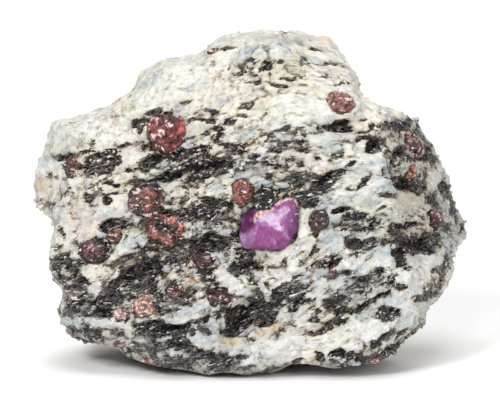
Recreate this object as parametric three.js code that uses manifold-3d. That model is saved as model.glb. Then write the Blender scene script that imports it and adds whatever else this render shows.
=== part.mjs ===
// A hand specimen of garnet gneiss with one ruby crystal, standing on its broken base.
// Lengths are millimetres. The rock is shaped in the frame of its broad front face: x runs to the
// right, y runs into the rock, away from the face, and z runs up the face. At the end that frame
// leans back a little, the base is cut level, and the whole is set down over the origin.
import * as THREE from "three";
import { ConvexGeometry } from "three/addons/geometries/ConvexGeometry.js";
import { mergeVertices } from "three/addons/utils/BufferGeometryUtils.js";
import Module from "manifold-3d";

const wasm = await Module();
wasm.setup();

// ---- driving dimensions ----
const LEAN = THREE.MathUtils.degToRad(10); // how far the broad face leans back
const HEART = new THREE.Vector3(2, 0, 34); // the middle of the rock, where the rays of its shape start
const FRONT_DEPTH = 25; // heart to the broad front face
const BACK_DEPTH = 26; // heart to the back
const BOXINESS = 3; // 2 would be an ellipsoid; more is squarer
const TOE_DEPTH = -13; // y of the front edge of the base, where the face's lowest point touches down
const ROCK_DETAIL = 17; // corners added along each edge of the icosahedron that the rock starts from
const SEAT_GAP = 0.3; // clearance between a crystal and its pocket
const OUTSIDE = 120; // a distance well outside the rock
const WELD_REACH = 1e-4; // corners closer than this are one
const GNEISS_COLOUR = 0xc9c6bf;
const GNEISS_ROUGHNESS = 0.85;

// The outline of the broad face as (x, z), clockwise from the top left corner.
const OUTLINE = [
  [-2.8, 68.2], [0, 68.4], [4.4, 68.6], [11, 68.4], [13, 67.8], [16, 68.4], [16.8, 65.8],
  [19, 63.6], [19.8, 61.4], [21.4, 58.2], [22.4, 56], [24.6, 54], [32.2, 51.4], [34, 50.2],
  [34.8, 47.4], [37.6, 45], [40.6, 38.4], [42.8, 32.6], [44.2, 31.2], [45, 29], [42.4, 25.2],
  [40.8, 22.4], [40.4, 20.4], [38, 15.8], [35.6, 14], [35.6, 11], [33.4, 9], [30.6, 6.8],
  [27.4, 3.6], [26, 0.8], [14, 0], [2, -1.6], [-6.6, -2], [-12.4, -1], [-20.4, 0.2], [-23.2, 3],
  [-28, 5.8], [-36.2, 8.8], [-38.4, 12.4], [-37, 14.4], [-36.8, 17.4], [-39, 19.4], [-39.8, 22.8],
  [-38.6, 30.8], [-44, 34], [-45, 36.8], [-43.4, 41.2], [-40.8, 43], [-42.4, 45.8], [-37.6, 51.6],
  [-34.4, 51.4], [-33, 51.4], [-30.4, 52.6], [-26.4, 54.8], [-25, 55.6], [-22.8, 59.2],
  [-20, 61.2], [-16.6, 63.2], [-12.8, 63.6], [-10, 64.2], [-7.4, 66.4], [-5, 66.8],
];

// Fracture faces: an outward direction, and the distance of the face from the heart.
const FRACTURES = [
  [0, -0.97, 0.24, 22], // upper front
  [0.05, -0.97, -0.22, 22.6], // lower front
  [-0.35, -0.93, 0.06, 23.2], // left front
  [0.875, -0.437, 0.2, 31.2], // right side, which turns away from the front along a steep edge
  [0.5, -0.3, 0.81, 31.6], // right shoulder
  [-0.31, -0.04, -0.95, 36.8], // underside of the left end
  [0.085, 0, -0.996, 32.2], // underside of the front edge, which stays just clear of the ground
  [-0.85, -0.5, 0.1, 38], // left end
  [-0.5, -0.25, 0.83, 37], // top left slope
  [0.2, 0.95, 0.2, 23], // back
  [-0.5, 0.8, 0.3, 27],
  [0.3, 0.85, -0.42, 25.6],
  [-0.15, 0.7, 0.7, 31],
  [0.8, 0.55, 0.2, 39],
].map(([x, y, z, far]) => ({ out: new THREE.Vector3(x, y, z).normalize(), far }));

// Where the biotite has flaked away from the front and left a hollow, and where feldspar stands
// proud (negative depth): centre x and z, half length, half width, tilt in degrees, depth.
const HOLLOWS = [
  [-36, 43.8, 6, 1.4, 12, 1.5], // seam under the block of feldspar at the left end
  [-29.4, 42.4, 4.4, 2.2, 18, 1.2],
  [-31, 49, 10, 4, 8, -1.3], // that block
  [-22.4, 50.4, 3.4, 1.7, 30, 1.8], // beside the largest garnet
  [-18.6, 43, 4, 1.4, 8, 1.6], // beneath the largest garnet
  [-12.6, 39.4, 8, 1.9, 20, 3.2], // the long slot across the middle
  [-4.6, 40.6, 5.4, 1.8, -8, 1.4],
  [-8, 33.4, 6, 1.9, 8, 1.2],
  [-28.2, 30, 3.4, 1.9, 0, 0.8],
  [-31, 33, 6, 5, 0, -0.8], // pale block left of the middle
  [-21.4, 19, 8.4, 2.6, 40, 2.6], // the dark trough at the lower left
  [-16.4, 24.8, 9, 1.8, 10, 1.2],
  [-7, 26.4, 6.4, 1.9, 2, 1],
  [5, 32.4, 8, 5.4, 12, 1.9], // around the ruby
  [-1.8, 30, 1.6, 3, 0, 0.9], // left of the ruby
  [-0.2, 22.4, 3.4, 2.4, -25, 1.8], // under the ruby
  [-18, 8.8, 8, 1.7, 3, 2.2], // layered seam near the foot
  [-9, 5.8, 6, 1.4, -8, 1.2],
  [-2.6, 11, 4, 2.5, 60, 3.2], // deep pit below the ruby
  [2.6, 13, 3, 2.2, -30, 2.6],
  [13, 6, 15, 3.4, 8, -1.4], // broad feldspar band along the foot
  [17, 14.4, 2.6, 2.6, 0, -0.9], // dark lump
  [23, 14, 5.4, 1.2, 30, 1.8],
  [27.6, 12.4, 3, 1.8, 0, 1.2],
  [17.6, 49.8, 4.6, 1.6, 6, 1.8], // slots near the right shoulder
  [23, 50, 2.8, 1.7, -10, 1.7],
  [25.6, 45.8, 2.8, 1.8, 45, 2.4],
  [14.6, 38.4, 7, 1.8, 35, 1.2],
  [18.6, 33.2, 3, 1.3, 5, 1.5],
  [24, 41, 5, 4, 30, -0.9], // pale knob beside the steep edge
  [31.6, 26, 4, 3.6, 0, 2], // hollows of the right side
  [31, 49.6, 3.2, 2, 0, 1.2],
  [32, 37.4, 3.6, 2, -10, 1.3],
  [-4.6, 65.2, 2.8, 1.2, 15, 1.2], // small slots near the top
  [1.4, 62.2, 3.4, 1.1, -12, 1],
  [14, 65.4, 4, 1, -5, 1],
  [0, 66, 8, 2.4, 0, -0.6],
];

// The ruby: a stubby crystal with a broad flat front, bevelled at its sides, and a tapering root.
const RUBY_CENTRE = [3.8, 29.8]; // x and z of its middle
const RUBY_GIRDLE = [ // its widest section about that middle
  [-6, -3], [-6, 2.2], [-4.2, 4], [3.4, 5.6], [6, 3], [5.4, -1.6], [2.4, -4.8], [-4.4, -4.8],
];
const RUBY_PROUD = 2.6; // how far its front stands out of the rock
const RUBY_BEVEL = { left: 2.6, right: 1.6, ends: 0.7, depth: 1.7 };
const RUBY_DEPTH = 6.5; // front to buried end
const RUBY_ROOT_SHARE = 0.6; // size of the buried end, as a share of the girdle
const RUBY_COLOUR = 0x8f3a8c;
const RUBY_ROUGHNESS = 0.35;

// The faces that crystals are set in, as the way that a ray meets them.
const FRONT = new THREE.Vector3(0, 1, 0);
const BACK = new THREE.Vector3(0, -1, 0);
const LEFT_END = new THREE.Vector3(1, 0, 0);

const BRICK_RED = 0x8c3230;
const DARK_MAROON = 0x4a2530;
const PURPLE_BROWN = 0x5f3c41;
const PALE_PINK = 0xc8827a;

// The garnets: name, face, the two coordinates across that face, half width, half height, colour.
const GARNETS = [
  ["garnet_upper_left", FRONT, -16, 48.2, 4.6, 4.5, BRICK_RED],
  ["garnet_upper_right", FRONT, 17.7, 54, 2.6, 2.1, BRICK_RED],
  ["garnet_middle_left", FRONT, -20.4, 35, 3.4, 3.4, PURPLE_BROWN],
  ["garnet_above_ruby", FRONT, -1.5, 36.6, 2.3, 2.4, BRICK_RED],
  ["garnet_lower_left", FRONT, -16.3, 29.2, 4.1, 3, BRICK_RED],
  ["garnet_far_left_low", FRONT, -30.8, 24.8, 3, 2.1, DARK_MAROON],
  ["garnet_far_left_high", FRONT, -35, 41.4, 1.8, 2, PURPLE_BROWN],
  ["garnet_foot_left", FRONT, -20.6, 14, 2.4, 2.1, PALE_PINK],
  ["garnet_foot_left_small", FRONT, -25.1, 12.3, 1.4, 1.3, PALE_PINK],
  ["garnet_foot_middle", FRONT, -14.9, 17, 1.5, 1.1, BRICK_RED],
  ["garnet_below_ruby", FRONT, -6.1, 16.3, 2.2, 1.9, DARK_MAROON],
  ["garnet_left_of_ruby", FRONT, -9.3, 23.2, 2.1, 1.5, DARK_MAROON],
  ["garnet_right_of_ruby", FRONT, 13.5, 30.8, 1.6, 1.8, DARK_MAROON],
  ["garnet_left_grain", FRONT, -26.7, 27.8, 1.1, 1.3, PALE_PINK],
  ["garnet_side_high", FRONT, 31.8, 45.7, 2.5, 2.6, PURPLE_BROWN],
  ["garnet_side_middle", FRONT, 31.9, 40.6, 1, 1.3, BRICK_RED],
  ["garnet_side_low", FRONT, 36.4, 31, 2.1, 2.2, BRICK_RED],
  ["garnet_back_high", BACK, -9, 50, 3.1, 2.8, PURPLE_BROWN],
  ["garnet_back_middle", BACK, 14, 37, 2.3, 2.2, BRICK_RED],
  ["garnet_back_low", BACK, -19, 24, 2.6, 2.1, DARK_MAROON],
  ["garnet_back_right", BACK, 24, 20, 1.8, 1.7, BRICK_RED],
  ["garnet_left_end", LEFT_END, 6, 38, 2, 1.9, BRICK_RED],
];
const GARNET_PROUD = 0.62; // share of a garnet's half depth that stands out of the rock
const GARNET_WEAR = 0.16; // most that a corner is worn back, as a share of its reach
const GARNET_FLATNESS = 0.95; // half depth, as a share of the lesser of half width and half height
const GARNET_ROUGHNESS = 0.3;

// ---- the rock's relief ----
const LAYER_NORMAL = new THREE.Vector3(-0.24, 0.3, 0.92).normalize(); // the gneiss splits across this
const LAYER_PITCH = 5.2; // thickness of the layers that break off as ledges
const LAYER_BEND = 1.6; // how far the layers wander, in pitches
const LEDGE = 2; // most that a ledge steps in
const LUMP = 3; // depth of the broad unevenness
const CHIP = 1.5; // depth of the chips
// Each noise has its own grain, in millimetres, and its own shift, which keeps it apart from the rest.
const BEND_NOISE = [14, 3.1];
const LEDGE_NOISE = [7, 40];
const LUMP_NOISE = [8, 11];
const CHIP_NOISE = [3.6, 23];
const HOLLOW_REACH = 1.5; // a hollow fades out at this many half lengths from its middle
const RIM_WIDTH = [3, 13]; // relief fades in between these distances in front of and behind the outline
const FRONT_FADE = [2, 9]; // hollows fade in between these distances in front of the outline

// A repeatable number from 0 to 1 for each place.
function hash(x, y, z) {
  const s = Math.sin(x * 127.1 + y * 311.7 + z * 74.7) * 43758.5453;
  return s - Math.floor(s);
}

const smooth = (t) => t * t * (3 - 2 * t);

// Value noise from 0 to 1 that changes over about one unit.
function noise(p) {
  const [x, y, z] = [p.x, p.y, p.z].map(Math.floor);
  const [fx, fy, fz] = [smooth(p.x - x), smooth(p.y - y), smooth(p.z - z)];
  const mix = THREE.MathUtils.lerp;
  const edge = (j, k) => mix(hash(x, y + j, z + k), hash(x + 1, y + j, z + k), fx);
  return mix(mix(edge(0, 0), edge(1, 0), fy), mix(edge(0, 1), edge(1, 1), fy), fz);
}

const noiseAt = (p, grain, shift) => noise(p.clone().divideScalar(grain).addScalar(shift));

// Distance from the heart to the outline at an angle in the face's plane.
function outlineReach(angle) {
  const [dx, dz] = [Math.cos(angle), Math.sin(angle)];
  let reach = 0;
  OUTLINE.forEach(([x, z], i) => {
    const [nextX, nextZ] = OUTLINE[(i + 1) % OUTLINE.length];
    const [fromX, fromZ] = [x - HEART.x, z - HEART.z];
    const [edgeX, edgeZ] = [nextX - x, nextZ - z];
    const cross = dx * edgeZ - dz * edgeX;
    const share = (fromX * dz - fromZ * dx) / cross; // where along the edge the ray meets it
    const far = (fromX * edgeZ - fromZ * edgeX) / cross;
    if (far > 0 && share >= 0 && share <= 1) reach = Math.max(reach, far);
  });
  return reach;
}

// Distance from the heart to the freshly broken block in any direction.
function blockReach(dir) {
  const flat = Math.hypot(dir.x, dir.z) / outlineReach(Math.atan2(dir.z, dir.x));
  const deep = Math.abs(dir.y) / (dir.y < 0 ? FRONT_DEPTH : BACK_DEPTH);
  const block = (flat ** BOXINESS + deep ** BOXINESS) ** (-1 / BOXINESS);
  return FRACTURES.reduce((reach, { out, far }) => {
    const facing = out.dot(dir);
    return facing > 0 ? Math.min(reach, far / facing) : reach;
  }, block);
}

// How far the surface steps in or stands out at a point, from ledges, lumps and chips. The outline
// keeps its course, so ledges and lumps fade out there.
function weathering(p) {
  const rim = THREE.MathUtils.smoothstep(Math.abs(p.y), ...RIM_WIDTH);
  const layer = p.dot(LAYER_NORMAL) / LAYER_PITCH + LAYER_BEND * noiseAt(p, ...BEND_NOISE);
  const ledge = LEDGE * (smooth(layer - Math.floor(layer)) - 0.5) * noiseAt(p, ...LEDGE_NOISE);
  const lump = LUMP * (noiseAt(p, ...LUMP_NOISE) - 0.5);
  const chip = CHIP * (noiseAt(p, ...CHIP_NOISE) - 0.5);
  return rim * (ledge + lump) + chip;
}

// Depth of the front's hollows and blocks at x, z.
function frontRelief(x, z) {
  return HOLLOWS.reduce((sum, [cx, cz, long, wide, tilt, depth]) => {
    const turn = THREE.MathUtils.degToRad(tilt);
    const [dx, dz] = [x - cx, z - cz];
    const along = (dx * Math.cos(turn) + dz * Math.sin(turn)) / long;
    const across = (dz * Math.cos(turn) - dx * Math.sin(turn)) / wide;
    return sum + depth * smooth(THREE.MathUtils.clamp(HOLLOW_REACH - Math.hypot(along, across), 0, 1));
  }, 0);
}

function rockSurface(dir) {
  const p = dir.clone().multiplyScalar(blockReach(dir));
  p.addScaledVector(dir, -weathering(p));
  p.add(HEART);
  p.y += frontRelief(p.x, p.z) * THREE.MathUtils.smoothstep(-p.y, ...FRONT_FADE);
  return p;
}

// ---- solids ----
// Merges the corners that faces share, which leaves position alone.
function welded(geometry) {
  const bare = geometry.clone();
  bare.deleteAttribute("normal");
  bare.deleteAttribute("uv");
  return mergeVertices(bare, WELD_REACH);
}

function solidFrom(geometry) {
  const { attributes, index } = welded(geometry);
  const vertProperties = Float32Array.from(attributes.position.array);
  const triVerts = Uint32Array.from(index.array);
  return new wasm.Manifold(new wasm.Mesh({ numProp: 3, vertProperties, triVerts }));
}

function geometryFrom(solid) {
  const { vertProperties, triVerts } = solid.getMesh();
  const geometry = new THREE.BufferGeometry();
  geometry.setAttribute("position", new THREE.BufferAttribute(vertProperties, 3));
  geometry.setIndex(new THREE.BufferAttribute(triVerts, 1));
  return geometry;
}

function makeMesh(name, geometry, color, roughness) {
  const mesh = new THREE.Mesh(geometry, new THREE.MeshStandardMaterial({ color, roughness, metalness: 0 }));
  mesh.name = name;
  return mesh;
}

function blockGeometry() {
  const geometry = welded(new THREE.IcosahedronGeometry(1, ROCK_DETAIL));
  const corners = geometry.attributes.position;
  for (let i = 0; i < corners.count; i++) {
    const dir = new THREE.Vector3().fromBufferAttribute(corners, i).normalize();
    corners.setXYZ(i, ...rockSurface(dir));
  }
  return geometry;
}

// The point where a ray across one face of the block meets it, at two coordinates across that face.
function surfacePoint(rock, face, across, up) {
  const start = face === LEFT_END ? new THREE.Vector3(0, across, up) : new THREE.Vector3(across, 0, up);
  start.addScaledVector(face, -OUTSIDE);
  return new THREE.Raycaster(start, face).intersectObject(rock)[0].point;
}

// ---- crystals ----
// Seats a crystal at a point. Its pocket is cut with the same form, grown by the gap on every side.
function seatCrystal(mesh, centre) {
  mesh.position.copy(centre);
  mesh.geometry.computeBoundingBox();
  const half = mesh.geometry.boundingBox.getSize(new THREE.Vector3()).multiplyScalar(0.5);
  const growth = half.clone().addScalar(SEAT_GAP).divide(half);
  const pocket = mesh.geometry.clone().scale(...growth).translate(...centre);
  return { mesh, pocket };
}

// The corners of a trapezohedron, the 24-faced form that garnets grow in. They lie along the axes,
// the edge middles and the diagonals of a cube, and each is worn back by its own share.
function garnetCorners(seed) {
  const reaches = [0, 1, 2 / 3, 1 / 2]; // by how many of x, y and z aren't zero
  const steps = [-1, 0, 1];
  const corners = steps.flatMap((x) => steps.flatMap((y) => steps.map((z) => new THREE.Vector3(x, y, z))));
  corners.forEach((corner) => {
    const kind = Math.round(corner.manhattanLength());
    const wear = 1 - GARNET_WEAR * hash(corner.x + seed, corner.y, corner.z);
    corner.multiplyScalar(reaches[kind] * wear);
  });
  return corners.filter((corner) => corner.length() > 0);
}

// Centres a geometry on its origin and stretches it to the half sizes given.
function fitted(geometry, ...halfSizes) {
  geometry.center();
  geometry.computeBoundingBox();
  const stretch = new THREE.Vector3(...halfSizes).divide(geometry.boundingBox.max);
  return geometry.scale(...stretch);
}

function makeGarnet(rock, [name, face, across, up, halfWidth, halfHeight, colour], seed) {
  const halfDepth = GARNET_FLATNESS * Math.min(halfWidth, halfHeight);
  const geometry = welded(new ConvexGeometry(garnetCorners(seed)));
  geometry.rotateX(seed).rotateZ(2 * seed);
  fitted(geometry, halfWidth, halfDepth, halfHeight);
  if (face === LEFT_END) geometry.rotateZ(Math.PI / 2);
  const centre = surfacePoint(rock, face, across, up);
  centre.addScaledVector(face, halfDepth * (1 - GARNET_PROUD));
  return seatCrystal(makeMesh(name, geometry, colour, GARNET_ROUGHNESS), centre);
}

function makeRuby(rock) {
  const { left, right, ends, depth } = RUBY_BEVEL;
  const front = ([x, z]) => new THREE.Vector3(x + (x < 0 ? left : -right), 0, z - Math.sign(z) * ends);
  const girdle = ([x, z]) => new THREE.Vector3(x, depth, z);
  const root = ([x, z]) => new THREE.Vector3(x * RUBY_ROOT_SHARE, RUBY_DEPTH, z * RUBY_ROOT_SHARE);
  const rings = [front, girdle, root].flatMap((ring) => RUBY_GIRDLE.map(ring));
  const geometry = welded(new ConvexGeometry(rings));
  geometry.translate(0, -RUBY_DEPTH / 2, 0);
  const centre = surfacePoint(rock, FRONT, ...RUBY_CENTRE);
  centre.y += RUBY_DEPTH / 2 - RUBY_PROUD;
  return seatCrystal(makeMesh("ruby_crystal", geometry, RUBY_COLOUR, RUBY_ROUGHNESS), centre);
}

// ---- assembly ----
// Everything below the level base, in the frame of the face.
function groundGeometry() {
  const ground = new THREE.BoxGeometry(2 * OUTSIDE, 2 * OUTSIDE, OUTSIDE);
  ground.translate(0, 0, -OUTSIDE / 2 - TOE_DEPTH * Math.sin(LEAN));
  return ground.rotateX(LEAN);
}

const block = new THREE.Mesh(blockGeometry());
const crystals = [makeRuby(block), ...GARNETS.map((garnet, i) => makeGarnet(block, garnet, i))];
const holes = [groundGeometry(), ...crystals.map(({ pocket }) => pocket)];
const matrix = holes.reduce((solid, hole) => solid.subtract(solidFrom(hole)), solidFrom(block.geometry));

const face = new THREE.Group();
face.rotation.x = -LEAN;
face.add(makeMesh("gneiss_matrix", geometryFrom(matrix), GNEISS_COLOUR, GNEISS_ROUGHNESS));
face.add(...crystals.map(({ mesh }) => mesh));

const group = new THREE.Group();
group.add(face);
const box = new THREE.Box3().setFromObject(group, true);
const centre = box.getCenter(new THREE.Vector3());
face.position.set(-centre.x, -centre.y, -box.min.z);

export default group;
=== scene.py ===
"""A hand specimen of garnet gneiss with one ruby crystal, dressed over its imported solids.

Shapes are worked out in millimetres in the frame of the rock's broad face: x to the right, y into
the rock and z up the face. That frame leans back from the row frame, which the pieces end up in.
"""

import itertools
import math

import bmesh
import bpy
import numpy as np
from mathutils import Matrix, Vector
from mathutils.bvhtree import BVHTree


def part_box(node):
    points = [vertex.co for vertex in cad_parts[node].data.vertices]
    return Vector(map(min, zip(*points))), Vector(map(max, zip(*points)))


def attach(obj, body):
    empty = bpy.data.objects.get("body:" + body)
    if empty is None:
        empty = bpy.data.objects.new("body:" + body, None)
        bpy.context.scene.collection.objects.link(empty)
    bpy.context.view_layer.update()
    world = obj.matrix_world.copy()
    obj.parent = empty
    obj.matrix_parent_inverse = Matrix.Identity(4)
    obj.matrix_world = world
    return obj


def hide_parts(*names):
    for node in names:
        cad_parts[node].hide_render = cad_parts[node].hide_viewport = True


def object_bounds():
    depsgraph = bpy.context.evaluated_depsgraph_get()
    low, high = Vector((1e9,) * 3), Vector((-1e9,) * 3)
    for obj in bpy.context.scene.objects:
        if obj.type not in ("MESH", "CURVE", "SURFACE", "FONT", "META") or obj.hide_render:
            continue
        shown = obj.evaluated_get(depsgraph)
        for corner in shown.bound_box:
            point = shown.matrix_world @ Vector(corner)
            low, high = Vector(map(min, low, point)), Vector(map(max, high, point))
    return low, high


MM = 0.001

# ---- where the face's frame lies in the row frame ----
LEAN = 10.0  # degrees, how far the face leans back
FACE_ORIGIN = np.array([-0.04, -7.03, -2.26])  # mm, the same shift as in the part's source
EYE_DISTANCE = 1200.0  # mm from the face frame's x-z plane to the camera
AIM = (0.0, 0.0, 34.7)  # the point of the face frame in the middle of the picture

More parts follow.
